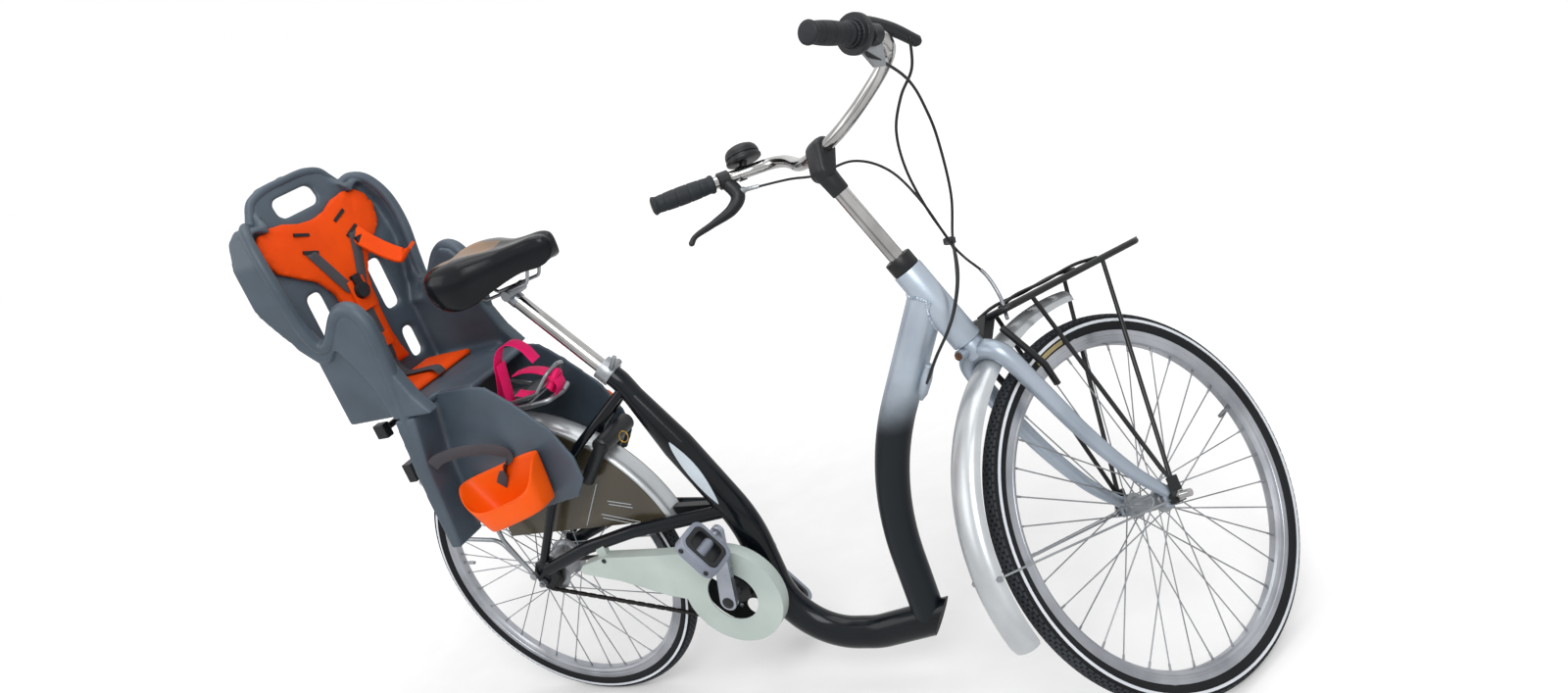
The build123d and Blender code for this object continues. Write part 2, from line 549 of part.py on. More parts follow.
cut_by = [front[n] for n in ("left_brake_lever", "handlebar", "front_brake", "front_rack", "front_mudguard")]
front["front_brake_cable"] = largest(cable(brake_run) - cut_by)
tie_at = Vector(brake_run[6])
front["cable_tie"] = rod(tie_at + Vector(1, 0, 5), tie_at + Vector(-1, 0, -3), 22) - front["front_brake_cable"]
for name, piece in front.items():
    nodes[name] = Pos(wheelbase, 0, 0) * piece.rotate(steering_axis, steer_angle)
for name, run, sideways in (("shift_cable", shift_run, -4), ("rear_brake_cable", rear_run, 4)):
    route = cable([turned(point) for point in run] + [(x, y + sideways, z) for x, y, z in down_run])
    route = Pos(wheelbase, 0, 0) * route
    ends = ("gear_shifter", "right_brake_lever", "handlebar", "down_tube", "head_tube", "cable_port",
            "front_brake_cable")
    nodes[name] = largest(route - [nodes[end] for end in ends])
nodes["rear_brake_cable"] = largest(nodes["rear_brake_cable"] - nodes["shift_cable"])
nodes["cable_tie"] = nodes["cable_tie"] - nodes["shift_cable"] - nodes["rear_brake_cable"]

os.makedirs("parts", exist_ok=True)
for name, piece in nodes.items():
    export_step(Pos(-seat_point) * piece, f"parts/{name}.step")
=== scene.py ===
import bpy
import bmesh
import json
from math import acos, atan2, copysign, cos, pi, radians, sin, sqrt
from mathutils import Matrix, Vector


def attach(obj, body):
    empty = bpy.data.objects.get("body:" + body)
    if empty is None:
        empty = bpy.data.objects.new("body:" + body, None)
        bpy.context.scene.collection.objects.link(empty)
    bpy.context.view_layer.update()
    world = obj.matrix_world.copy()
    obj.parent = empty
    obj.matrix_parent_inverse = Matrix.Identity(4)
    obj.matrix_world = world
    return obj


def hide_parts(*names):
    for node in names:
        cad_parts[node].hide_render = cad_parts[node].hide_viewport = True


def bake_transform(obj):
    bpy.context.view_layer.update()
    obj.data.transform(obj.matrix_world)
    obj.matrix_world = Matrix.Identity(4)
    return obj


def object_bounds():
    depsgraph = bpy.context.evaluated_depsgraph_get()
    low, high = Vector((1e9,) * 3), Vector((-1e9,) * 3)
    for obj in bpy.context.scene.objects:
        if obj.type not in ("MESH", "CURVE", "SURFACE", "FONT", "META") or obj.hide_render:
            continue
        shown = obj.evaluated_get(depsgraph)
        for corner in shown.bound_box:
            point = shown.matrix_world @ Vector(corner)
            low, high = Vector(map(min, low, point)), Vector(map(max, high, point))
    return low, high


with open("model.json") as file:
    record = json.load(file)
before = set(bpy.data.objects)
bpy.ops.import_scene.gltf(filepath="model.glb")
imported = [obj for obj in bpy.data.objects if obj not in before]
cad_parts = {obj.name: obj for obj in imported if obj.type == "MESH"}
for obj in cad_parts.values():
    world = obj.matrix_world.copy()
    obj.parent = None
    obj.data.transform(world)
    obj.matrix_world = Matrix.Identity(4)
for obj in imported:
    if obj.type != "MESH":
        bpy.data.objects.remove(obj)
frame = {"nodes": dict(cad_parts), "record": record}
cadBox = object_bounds()
nodes = frame["nodes"]
scene = bpy.context.scene

# Points are in metres from the ground under mid wheelbase; the frame's origin is the saddle top
bike = {
    "saddleTop": (-0.469972, 0.0, 1.105028), "wheelbase": 1.35, "axleHeight": 0.35, "headAngle": 66.67,
    "steered": 66.6, "forkOffset": 0.0738}
seatPoint = Vector(bike["saddleTop"])
rearAxle = Vector((-bike["wheelbase"] / 2, 0, bike["axleHeight"]))
frontAxle = Vector((bike["wheelbase"] / 2, 0, bike["axleHeight"]))
headAngle = radians(bike["headAngle"])
columnWay = Vector((-cos(headAngle), 0, sin(headAngle)))
columnBase = frontAxle - bike["forkOffset"] * Vector((sin(headAngle), 0, cos(headAngle)))
toRow = Matrix.Translation(-seatPoint)
steer = (Matrix.Translation(columnBase) @ Matrix.Rotation(radians(bike["steered"]), 4, columnWay)
         @ Matrix.Translation(-columnBase))
turnedRow = toRow @ steer  # for front pieces, which are drawn straight ahead
asDrawn = Matrix.Identity(4)  # for pieces laid on others, already in the frame's own place
sideways = Vector((0, 1, 0))


def place(x, y, z):
    return Vector((x, y, z)) - seatPoint


def onColumn(s):
    return columnBase + columnWay * s


def arcPoint(centre, radius, angle):
    return centre + radius * Vector((cos(angle), 0, sin(angle)))


def linear(hexText):
    channels = [int(hexText[i:i + 2], 16) / 255 for i in (1, 3, 5)]
    return [c / 12.92 if c <= 0.04045 else ((c + 0.055) / 1.055) ** 2.4 for c in channels] + [1.0]


def addNode(tree, kind, inputs=None, **settings):
    node = tree.nodes.new("ShaderNode" + kind)
    for key, value in settings.items():
        setattr(node, key, value)
    for key, value in (inputs or {}).items():
        if isinstance(value, bpy.types.NodeSocket):
            tree.links.new(value, node.inputs[key])
        else:
            node.inputs[key].default_value = value
    return node


materials = {}


# Surface with a slow colour drift, uneven gloss and a fine grain; pattern sizes are in millimetres
def surface(name, colour, dark, smooth, rough, metal=0.0, specular=0.5, bump=0.05, through=0.0, driftMm=111,
            threadMm=None, fade=None):
    material = materials[name] = bpy.data.materials.new(name)
    material.use_nodes = True
    tree = material.node_tree
    shader = tree.nodes["Principled BSDF"]
    spot = addNode(tree, "TexCoord").outputs["Object"]
    drift = addNode(tree, "TexNoise", {"Vector": spot, "Scale": 1000 / driftMm,
                                                 "Detail": 4.0}).outputs["Fac"]
    ramp = addNode(tree, "ValToRGB", {"Fac": drift})
    for element, position, shade in zip(ramp.color_ramp.elements, (0.35, 0.68), (dark, colour)):
        element.position, element.color = position, linear(shade)
    tint = ramp.outputs["Color"]
    shader.inputs["Metallic"].default_value = metal
    if fade:
        high, low, below = fade
        height = addNode(tree, "SeparateXYZ", {"Vector": spot}).outputs["Z"]
        wander = addNode(tree, "Math", {0: drift, 1: 0.03, 2: height}, operation="MULTIPLY_ADD")
        share = addNode(tree, "MapRange",
                        {"Value": wander.outputs["Value"], "From Min": high - seatPoint.z,
                         "From Max": low - seatPoint.z}, interpolation_type="SMOOTHSTEP").outputs["Result"]
        mixed = addNode(tree, "Mix", {0: share, 6: tint, 7: linear(below)}, data_type="RGBA")
        tint = mixed.outputs[2]
        fading = addNode(tree, "MapRange", {"Value": share, "To Min": metal, "To Max": 0.0})
        tree.links.new(fading.outputs["Result"], shader.inputs["Metallic"])
    tree.links.new(tint, shader.inputs["Base Color"])
    spread = addNode(tree, "MapRange", {"Value": drift, "To Min": smooth, "To Max": rough})
    tree.links.new(spread.outputs["Result"], shader.inputs["Roughness"])
    if threadMm:  # a diagonal wave repeats every 2 pi / (10 sqrt 3 scale) metres
        threads = 2000 * pi / (10 * sqrt(3) * threadMm)
        grain = addNode(tree, "TexWave", {"Vector": spot, "Scale": threads, "Distortion": 1.5,
                                                    "Detail": 2.0}, bands_direction="DIAGONAL")
    else:  # moulding and casting grain is drawn about 1 mm coarse, so that it shows
        grain = addNode(tree, "TexNoise", {"Vector": spot, "Scale": 1000 / 1.11, "Detail": 3.0})
    relief = addNode(tree, "Bump", {"Height": grain.outputs["Fac"], "Strength": bump,
                                              "Distance": 0.0003})
    tree.links.new(relief.outputs["Normal"], shader.inputs["Normal"])
    shader.inputs["Specular IOR Level"].default_value = specular
    shader.inputs["Transmission Weight"].default_value = through
    return material


# Each look: colour, darker drift, lowest and highest roughness, then what differs
# vulcanised rubber, matt and nearly black
surface("tyre_rubber", "#1b1d20", "#121315", 0.62, 0.8, bump=0.3, specular=0.2)
# the same rubber worn by the road, greyer and dusty
surface("tread_rubber", "#3a3e43", "#2a2d31", 0.6, 0.75, bump=0.3, specular=0.25)
# brushed aluminium, a soft broad shine
surface("rim_aluminium", "#b4b7bd", "#92959b", 0.26, 0.4, metal=0.9)
# drawn steel wire, dull silver
surface("spoke_steel", "#a0a3a7", "#7d8084", 0.3, 0.45, metal=0.8)
# black enamel, dark with sharp thin highlights
surface("frame_black", "#10161c", "#0a0e12", 0.12, 0.2, specular=0.24)
# silver enamel sprayed into black towards the bottom
surface("frame_silver", "#b4bfca", "#a3aeba", 0.3, 0.42, metal=0.55, specular=0.24,
        fade=(0.705, 0.588, "#10161c"))
# silver enamel, cool and satin
surface("fork_silver", "#a9b3bf", "#95a0ac", 0.3, 0.42, metal=0.55)
# chrome plate, a clear mirror
surface("chrome_plate", "#c6c5c4", "#9c9b9a", 0.06, 0.16, metal=1.0)
# zinc plated steel, grey with a blurred shine
surface("steel_grey", "#a7abaf", "#85898d", 0.3, 0.42, metal=0.8)
# rolled and silver painted sheet, pale and satin
surface("mudguard_silver", "#c4c8cb", "#b2b6b9", 0.24, 0.34, metal=0.6)
# powder coated steel, satin black
surface("black_steel", "#17191c", "#0d0e10", 0.3, 0.45, specular=0.35)
# moulded and grained ABS, black with a blurred shine
surface("black_plastic", "#1b1e22", "#111316", 0.36, 0.5, bump=0.2, specular=0.35)
# soft moulded rubber, black and dull
surface("grip_rubber", "#23282d", "#171a1e", 0.5, 0.66, bump=0.25, specular=0.3)
# smooth vinyl, black with wide highlights
surface("saddle_cover", "#14161b", "#0d0f12", 0.16, 0.26, bump=0.1, specular=0.2)
# tan-gold colour on the saddle's rear top, a painted golden reflection on black vinyl, half glossy
surface("saddle_tan", "#80592a", "#5c4120", 0.3, 0.42, bump=0.2)
# moulded polypropylene, pale grey green and satin
surface("guard_plastic", "#b7c2bd", "#a9b5b0", 0.34, 0.46)
# smoked acrylic, glossy and half see-through
surface("smoked_plastic", "#655d4b", "#575040", 0.18, 0.28, through=0.5)
# oiled steel, dark with small glints
surface("chain_steel", "#33312f", "#191817", 0.35, 0.55, metal=0.7)
# polished cast aluminium, bright and slightly blurred
surface("crank_aluminium", "#aeb3bd", "#8f949e", 0.22, 0.34, metal=0.8)
# glass filled nylon, grey and satin
surface("pedal_mix", "#8d93a0", "#727885", 0.36, 0.5, metal=0.3)
# moulded polypropylene, blue grey and satin
surface("seat_plastic", "#46535f", "#3b4752", 0.42, 0.55, bump=0.12)
# woven nylon over foam, orange and matt
surface("pad_orange", "#e64c05", "#d84303", 0.6, 0.75, threadMm=0.86, bump=0.12, specular=0.15)
# moulded polypropylene, orange with a satin shine
surface("cup_orange", "#f05a04", "#e65203", 0.36, 0.46, specular=0.2)
# nylon webbing, dark grey with fine ribs
surface("webbing_grey", "#444247", "#363439", 0.7, 0.85, threadMm=0.7, bump=0.35)
# woven elastic, pink and matt
surface("strap_pink", "#ee1f70", "#d8155f", 0.5, 0.65, threadMm=0.755, bump=0.2, specular=0.2)
# extruded PVC sleeve, black and half glossy
surface("cable_black", "#16181b", "#0e1012", 0.35, 0.5, specular=0.35)
# red acrylic lens, glossy
surface("lamp_red", "#941016", "#710b10", 0.1, 0.2)
# white reflective band, matt
surface("line_white", "#dfe3e8", "#ccd1d8", 0.5, 0.65)
# pale vinyl film, satin
surface("film_pale", "#c6d0d8", "#b7c2cb", 0.3, 0.4)
# printed rubber patch, tan and matt
surface("label_tan", "#a99a6c", "#93855b", 0.5, 0.65)
# brass, yellow and bright
surface("brass", "#c09a45", "#9c7a2c", 0.2, 0.34, metal=1.0)
# rusty steel, brown and blotchy
surface("bolt_rust", "#7c5b46", "#53392b", 0.5, 0.7, metal=0.5, driftMm=8.3)
for entry in frame["record"]["subparts"]:
    mesh = nodes[entry["node"]].data
    mesh.materials.clear()
    mesh.materials.append(materials[entry["material_slot"]])
# the rear light is a black housing, red only on the side that faces back
lampMesh = nodes["rear_light"].data
lampMesh.materials.append(materials["black_plastic"])
for polygon in lampMesh.polygons:
    polygon.material_index = 0 if polygon.normal.x < -0.5 else 1
# a dull rubber plug closes the front end of the low tube
tubeMesh = nodes["bottom_tube"].data
tubeMesh.materials.append(materials["tyre_rubber"])
tubeEnd = max(vertex.co.x for vertex in tubeMesh.vertices)
for polygon in tubeMesh.polygons:
    if polygon.normal.x > 0.6 and polygon.center.x > tubeEnd - 0.06:
        polygon.material_index = 1
print("stage: materials")


# A finished piece, in place of the CAD nodes it shows; a piece without a body is left unattached
def piece(name, build, look, body=None, shows=(), matrix=None, sharp=40):
    build.transform(matrix or (turnedRow if body == "front" else toRow))
    bmesh.ops.recalc_face_normals(build, faces=build.faces)
    mesh = bpy.data.meshes.new(name)
    build.to_mesh(mesh)
    build.free()
    for polygon in mesh.polygons:
        polygon.use_smooth = True
    mesh.set_sharp_from_angle(angle=radians(sharp))
    shown = bpy.data.objects.new(name, mesh)
    scene.collection.objects.link(shown)
    finishes = [look] if isinstance(look, str) else look
    for finish in finishes:
        mesh.materials.append(materials[finish])
    if body:
        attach(shown, body)
    if shows:
        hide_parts(*shows)
    return shown


# Faces between rings of points, with a face over each end unless the rings close up
def skin(build, rings, looped=False, slot=0):
    rings = [[build.verts.new(point) for point in ring] for ring in rings]
    count = len(rings[0])
    made = []
    for one, two in zip(rings, rings[1:] + (rings[:1] if looped else [])):
        for k in range(count):
            made.append(build.faces.new((one[k], one[(k + 1) % count], two[(k + 1) % count], two[k])))
    if not looped:
        made += [build.faces.new(rings[0][::-1]), build.faces.new(rings[-1])]
    for face in made:
        face.material_index = slot
    return made


# Round wire or tube along a line; the radius may be one size or a list
def wire(build, points, radius, sides=10, closed=False, slot=0):
    points = [Vector(p) for p in points]
    rings, normal = [], None
    for i, point in enumerate(points):
        before = points[i - 1] if i or closed else point
        after = points[(i + 1) % len(points)] if i < len(points) - 1 or closed else point
        along = (after - before).normalized()
        normal = normal or along.orthogonal()
        normal = (normal - along * normal.dot(along)).normalized()
        across = along.cross(normal)
        size = radius[i] if isinstance(radius, list) else radius
        turns = [2 * pi * k / sides for k in range(sides)]
        rings.append([point + size * (cos(t) * normal + sin(t) * across) for t in turns])
    skin(build, rings, closed, slot)


def wired(*runs):
    build = bmesh.new()
    for run in runs:
        wire(build, *run)
    return build


# Points and radii of a turned shape, from its steps along a line
def stepped(spotAt, steps):
    return [spotAt(s) for s, size in steps], [size for s, size in steps]


# Smooth line through the points
def curve(points, steps=8):
    points = [Vector(p) for p in points]
    points = [2 * points[0] - points[1]] + points + [2 * points[-1] - points[-2]]
    line = []
    for a, b, c, d in zip(points, points[1:], points[2:], points[3:]):
        for k in range(steps):
            t = k / steps
            line.append(0.5 * (2 * b + (c - a) * t + (2 * a - 5 * b + 4 * c - d) * t * t
                               + (3 * b - a - 3 * c + d) * t ** 3))
    return line + [points[-2]]


# Profile of (radius, across) points spun about an axle across the bicycle
def lathe(build, profile, steps, closed=True):
    line = [build.verts.new((r, y, 0)) for r, y in profile]
    edges = [build.edges.new(pair) for pair in zip(line, line[1:] + (line[:1] if closed else []))]
    bmesh.ops.spin(build, geom=line + edges, cent=(0, 0, 0), axis=(0, -1, 0), angle=2 * pi, steps=steps,
                   use_merge=True)


def block(build, size, matrix, slot=0):
    cube = bmesh.ops.create_cube(build, size=1.0, matrix=matrix @ Matrix.Diagonal((*size, 1.0)))
    for vertex in cube["verts"]:
        for face in vertex.link_faces:
            face.material_index = slot


# Flat band along a line, with its width laid along the given side directions
def ribbon(build, line, sides, width, thickness):
    edge = ((-1, -0.4), (-0.9, -1), (0.9, -1), (1, -0.4), (1, 0.4), (0.9, 1), (-0.9, 1), (-1, 0.4))
    rings = []
    for i, point in enumerate(line):
        along = (line[min(i + 1, len(line) - 1)] - line[max(i - 1, 0)]).normalized()
        side = sides[i] if isinstance(sides, list) else sides
        side = (side - along * side.dot(along)).normalized()
        out = side.cross(along)
        rings.append([point + side * u * width / 2 + out * v * thickness / 2 for u, v in edge])
    skin(build, rings)


def finer(shown):
    fine = shown.modifiers.new("fine", "SUBSURF")
    fine.levels, fine.render_levels = 1, 1


def bevelled(shown, width, angle):
    bevel = shown.modifiers.new("edges", "BEVEL")
    bevel.width, bevel.segments = width, 2
    bevel.limit_method, bevel.angle_limit = "ANGLE", radians(angle)


# Moulded pieces are rounded by a fine remesh, and cut or folded ones get small edge radii
rounded = {
    "child_seat_shell": (0.0042, 18), "child_seat_leg_guards": (0.0036, 16), "gear_shifter": (0.0014, 5),
    "ring_lock": (0.002, 6), "child_seat_mount": (0.0025, 6)}
for name, (voxel, passes) in rounded.items():
    remesh = nodes[name].modifiers.new("rounding", "REMESH")
    remesh.mode, remesh.voxel_size, remesh.use_smooth_shade = "VOXEL", voxel, True
    relax = nodes[name].modifiers.new("relaxing", "SMOOTH")
    relax.factor, relax.iterations = 0.5, passes
edged = {
    "chain_guard": 0.0022, "bottom_bracket": 0.001, "seat_clamp": 0.0012, "front_rack": 0.0008,
    "rear_axle": 0.0008, "front_axle": 0.0008, "crank_set": 0.0022, "chainring": 0.0006,
    "headset_cup": 0.0025, "head_tube": 0.0015, "coat_guards": 0.0008, "rear_light": 0.004,
    "front_brake": 0.001}
for name, width in edged.items():
    nodes[name].modifiers.new("joining", "WELD").merge_threshold = 0.00002
    bevelled(nodes[name], width, 35)
print("stage: edges")

# Wheels: tyre with tread blocks and a pale line, rim, spokes with nipples, hub and valve
tyre = {
    "tube": 0.02, "centre": 0.33, "groove": 0.002, "blocks": 140, "rows": range(-3, 4), "rowAngle": 15.5,
    "line": 0.3335, "lineHalf": 0.0026}
rimHalf = [
    (0.292, 0.006), (0.2945, 0.0105), (0.2985, 0.0128), (0.301, 0.0128), (0.3016, 0.0122), (0.306, 0.0122),
    (0.3066, 0.013), (0.316, 0.013)]
spoke = {
    "count": 36, "lean": 48, "across": 0.0345, "rimRadius": 0.2925, "rimAcross": 0.0022, "radius": 0.0013,
    "nipple": [(0, 0.0024), (0.004, 0.0021), (0.0125, 0.0019), (0.0135, 0.0012)],
    "valve": [(0.293, 0.0033), (0.279, 0.0033), (0.2788, 0.0041), (0.262, 0.0041), (0.2615, 0.003)]}
frontHubHalf = [
    (0.0056, 0.04), (0.013, 0.04), (0.014, 0.0392), (0.014, 0.0372), (0.0235, 0.0368), (0.024, 0.0345),
    (0.0235, 0.0322), (0.0165, 0.03), (0.0145, 0.024)]
rearHubLeft = [
    (0.0056, 0.05), (0.029, 0.05), (0.03, 0.049), (0.03, 0.0372), (0.0454, 0.0368), (0.046, 0.0345),
    (0.0454, 0.0322), (0.036, 0.029), (0.034, 0.026)]
rearHubRight = [
    (0.0056, -0.048), (0.019, -0.048), (0.02, -0.0472), (0.02, -0.0372), (0.0454, -0.0368), (0.046, -0.0345),
    (0.0454, -0.0322), (0.036, -0.029), (0.034, -0.026)]
wheels = {"front": {"spot": steer @ Matrix.Translation(frontAxle), "flange": 0.021, "valveAngle": -20.3,
                    "hub": [(r, -y) for r, y in frontHubHalf] + [(0.014, 0.0)] + frontHubHalf[::-1]},
          "rear": {"spot": Matrix.Translation(rearAxle), "flange": 0.043, "valveAngle": -174.5,
                   "hub": rearHubRight + rearHubLeft[::-1]}}


# Reach of the tyre's side at a radius
def tyreSide(r):
    return sqrt(tyre["tube"] ** 2 - (r - tyre["centre"]) ** 2)


def tyreMesh():
    build = bmesh.new()
    arc = [radians(a) for a in range(-138, 139, 12)]
    under = tyre["tube"] - tyre["groove"]
    lathe(build, [(tyre["centre"] + under * cos(a), under * sin(a)) for a in arc], 144)
    seat = Matrix.Translation((under + tyre["groove"] / 2 - 0.0004, 0, 0))
    for i in range(tyre["blocks"]):
        turn = Matrix.Rotation(-2 * pi * i / tyre["blocks"], 4, "Y")
        for row in tyre["rows"]:
            shift = Matrix.Rotation(-pi / tyre["blocks"] * (abs(row) % 2), 4, "Y")
            lean = Matrix.Rotation(radians(row * tyre["rowAngle"]), 4, "Z")
            out = Matrix.Translation((tyre["centre"], 0, 0)) @ lean
            block(build, (tyre["groove"], 0.0042, 0.0118 if row else 0.0135), turn @ shift @ out @ seat, 1)
    return build


def lineMesh():
    build = bmesh.new()
    inner, outer = tyre["line"] - tyre["lineHalf"], tyre["line"] + tyre["lineHalf"]
    for hand in (-1, 1):
        reach = tyreSide(tyre["line"]) * hand
        lathe(build, [(inner, reach * 0.985), (outer, reach * 0.965), (outer, reach * 0.92),
                      (inner, reach * 0.92)], 120)
    return build


def spokeMesh(wheel):
    build = bmesh.new()
    flange = wheel["flange"]
    for i in range(spoke["count"]):
        hand = 1 if i % 2 else -1
        lean = radians(spoke["lean"] if i % 4 < 2 else -spoke["lean"])
        turn = 2 * pi * i / spoke["count"]
        start = arcPoint(sideways * hand * spoke["across"], flange, turn + lean)
        end = arcPoint(sideways * hand * spoke["rimAcross"], spoke["rimRadius"], turn)
        wire(build, [start, end], spoke["radius"], 6)
        toHub = (start - end).normalized()
        wire(build, *stepped(lambda s: end + toHub * s, spoke["nipple"]), 8)
    lathe(build, wheel["hub"], 48)
    turned = Matrix.Rotation(radians(wheel["valveAngle"]), 4, "Y")
    wire(build, *stepped(lambda r: turned @ Vector((r, 0, 0)), spoke["valve"]))
    return build


for side, wheel in wheels.items():
    body, where = f"{side}_wheel", toRow @ wheel["spot"]
    piece(f"{side}Tyre", tyreMesh(), ("tyre_rubber", "tread_rubber"), body, (f"{side}_tyre",), where, 30)
    piece(f"{side}TyreLine", lineMesh(), "line_white", body, (), where)
    build = bmesh.new()
    lathe(build, [(r, -y) for r, y in rimHalf] + rimHalf[::-1], 144)
    piece(f"{side}Rim", build, "rim_aluminium", body, (f"{side}_rim",), where, 25)
    piece(f"{side}Spokes", spokeMesh(wheel), "spoke_steel", body, (f"{side}_spokes",), where, 45)
print("stage: wheels")

# Chain, link by link round its loop
chain = {
    "pitch": 0.0127, "ring": 0.097, "sprocket": 0.038, "y": -0.044, "crank": (-0.187, 0, 0.289),
    "halfLink": 0.0063 * 0.98, "endRadius": 0.0044, "halfHeight": 0.0042, "waist": 0.86, "plate": 0.001,
    "pin": 0.0024, "pinHalf": 0.0034}
crankAxis = Vector(chain["crank"])
span = rearAxle - crankAxis
wrap = acos((chain["ring"] - chain["sprocket"]) / span.length)
base = atan2(span.z, span.x)
around = 2 * pi - 2 * wrap
loop = [arcPoint(crankAxis, chain["ring"], base + wrap + around * k / 60) for k in range(61)]
loop += [arcPoint(rearAxle, chain["sprocket"], base - wrap + 2 * wrap * k / 24) for k in range(25)]
loop.append(loop[0])
lengths = [0.0]
for one, two in zip(loop, loop[1:]):
    lengths.append(lengths[-1] + (two - one).length)
linkCount = 2 * round(lengths[-1] / chain["pitch"] / 2)


def alongLoop(distance):
    distance %= lengths[-1]
    for i in range(len(loop) - 1):
        if distance <= lengths[i + 1]:
            return loop[i].lerp(loop[i + 1], (distance - lengths[i]) / (lengths[i + 1] - lengths[i]))
    return loop[-1]


linkOutline = []
for k in range(12):
    c, s = cos(pi * k / 6), sin(pi * k / 6)
    linkOutline.append((c * chain["endRadius"] + (1 if c > 0 else -1) * chain["halfLink"],
                        s * chain["halfHeight"] * (1.0 if abs(c) > 0.3 else chain["waist"])))
build = bmesh.new()
for i in range(linkCount):
    one, two = alongLoop(i * lengths[-1] / linkCount), alongLoop((i + 1) * lengths[-1] / linkCount)
    along = (two - one).normalized()
    basis = Matrix((along, sideways, Vector((-along.z, 0, along.x)))).transposed().to_4x4()
    for y in ((-0.003, 0.003) if i % 2 else (-0.0019, 0.0019)):
        at = Matrix.Translation((one + two) / 2 + sideways * (chain["y"] + y)) @ basis
        skin(build, [[at @ Vector((u, half, v)) for u, v in linkOutline]
                     for half in (-chain["plate"] / 2, chain["plate"] / 2)])
    wire(build, [one + sideways * (chain["y"] + y) for y in (-chain["pinHalf"], chain["pinHalf"])],
         chain["pin"], 8)
piece("chainLinks", build, "chain_steel", "frame", ("chain",))
print("stage: chain")

# Saddle: gel pad with a tan-gold patch on the rear top that is a painted golden reflection, drawn as ribs (x,
# half width, top, bottom) from nose to tail
saddle = {
    "ribs": [(-0.315, 0.008, 1.085, 1.07), (-0.3175, 0.015, 1.092, 1.062), (-0.3235, 0.022, 1.099, 1.053),
        (-0.334, 0.027, 1.103, 1.047), (-0.352, 0.031, 1.105, 1.043), (-0.392, 0.038, 1.102, 1.044),
        (-0.428, 0.05, 1.101, 1.036), (-0.462, 0.07, 1.104, 1.026), (-0.496, 0.092, 1.108, 1.014),
        (-0.53, 0.102, 1.11, 1.011), (-0.562, 0.103, 1.109, 1.016), (-0.588, 0.097, 1.104, 1.028),
        (-0.6, 0.086, 1.094, 1.046)],
    "shape": [(0.0, -0.05), (0.22, -0.035), (0.45, 0.0), (0.66, -0.012), (0.83, -0.06), (0.94, -0.16),
        (0.995, -0.32), (1.0, -0.52), (0.975, -0.74), (0.93, -0.92), (0.88, -1.0), (0.82, -0.97),
        (0.78, -0.84), (0.6, -0.66), (0.3, -0.62), (0.0, -0.62)],
    "skirt": 10, "goldReflectionFrom": -0.44, "goldReflectionWideFrom": -0.51}
build = bmesh.new()
rings = []
for x, half, top, bottom in saddle["ribs"]:
    hollow = min(1.0, max(0.0, (half - 0.026) / 0.012))  # the nose is closed below
    right = []
    for i, (u, v) in enumerate(saddle["shape"]):
        v = -1.0 + (v + 1.0) * hollow if i > saddle["skirt"] else v
        right.append((x, -u * half, top + v * (top - bottom)))
    rings.append(right + [(x, -y, z) for x, y, z in right[-2:0:-1]])
size = len(rings[0])
for i, face in enumerate(skin(build, rings)[:-2]):
    rib, k = divmod(i, size)
    x = saddle["ribs"][rib][0]
    # faces along the rear top take the tan colour, a painted golden reflection
    goldReflection = min(k, size - 1 - k) < (3 if x < saddle["goldReflectionWideFrom"] else 2) and x < saddle["goldReflectionFrom"]
    face.material_index = 1 if goldReflection else 0
bmesh.ops.subdivide_edges(build, edges=build.edges[:], cuts=1, use_grid_fill=True, smooth=0.0)
saddlePiece = piece("saddlePad", build, ("saddle_cover", "saddle_tan"), "frame", ("saddle",), sharp=70)
finer(saddlePiece)
print("stage: saddle")

# Child seat pads: the CAD blanks remeshed, then filled by a cloth pressure
filling = {
    "voxel": 0.005, "passes": 4, "frames": 20, "pressure": 4.0, "mass": 0.3, "most": 0.005, "backFrom": 0.88}
blank = bpy.data.objects.new("blank", nodes["child_seat_pads"].data.copy())
scene.collection.objects.link(blank)
blank.modifiers.new("joining", "WELD").merge_threshold = 0.00002
remesh = blank.modifiers.new("skin", "REMESH")
remesh.mode, remesh.voxel_size = "VOXEL", filling["voxel"]
relax = blank.modifiers.new("relaxing", "SMOOTH")
relax.factor, relax.iterations = 0.5, filling["passes"]
padMesh = bpy.data.meshes.new_from_object(blank.evaluated_get(bpy.context.evaluated_depsgraph_get()))
bpy.data.objects.remove(blank)
pads = bpy.data.objects.new("childSeatPads", padMesh)
scene.collection.objects.link(pads)
held = pads.vertex_groups.new(name="held")
for vertex in padMesh.vertices:
    onBack = vertex.co.z > filling["backFrom"] - seatPoint.z
    behind = -vertex.normal.x if onBack else -vertex.normal.z
    held.add([vertex.index], 1.0 if behind > 0.25 else 0.0, "REPLACE")
rest = [vertex.co.copy() for vertex in padMesh.vertices]
cloth = pads.modifiers.new("filling", "CLOTH")
cloth.settings.quality, cloth.settings.mass = 5, filling["mass"]
cloth.settings.use_pressure, cloth.settings.uniform_pressure_force = True, filling["pressure"]
cloth.settings.vertex_group_mass = "held"
cloth.settings.effector_weights.gravity = 0.0
cloth.point_cache.frame_start, cloth.point_cache.frame_end = 1, filling["frames"]
for step in range(1, filling["frames"] + 1):
    scene.frame_set(step)
filled = pads.evaluated_get(bpy.context.evaluated_depsgraph_get()).data
moves = [filled.vertices[i].co - rest[i] for i in range(len(rest))]
pads.modifiers.remove(cloth)
for vertex, start, move in zip(padMesh.vertices, rest, moves):
    vertex.co = start + move.normalized() * min(move.length, filling["most"])
scene.frame_set(1)
pads.vertex_groups.clear()
for polygon in padMesh.polygons:
    polygon.use_smooth = True
padMesh.materials.clear()
padMesh.materials.append(materials["pad_orange"])
finer(pads)
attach(pads, "frame")
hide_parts("child_seat_pads")
print("stage: pads")

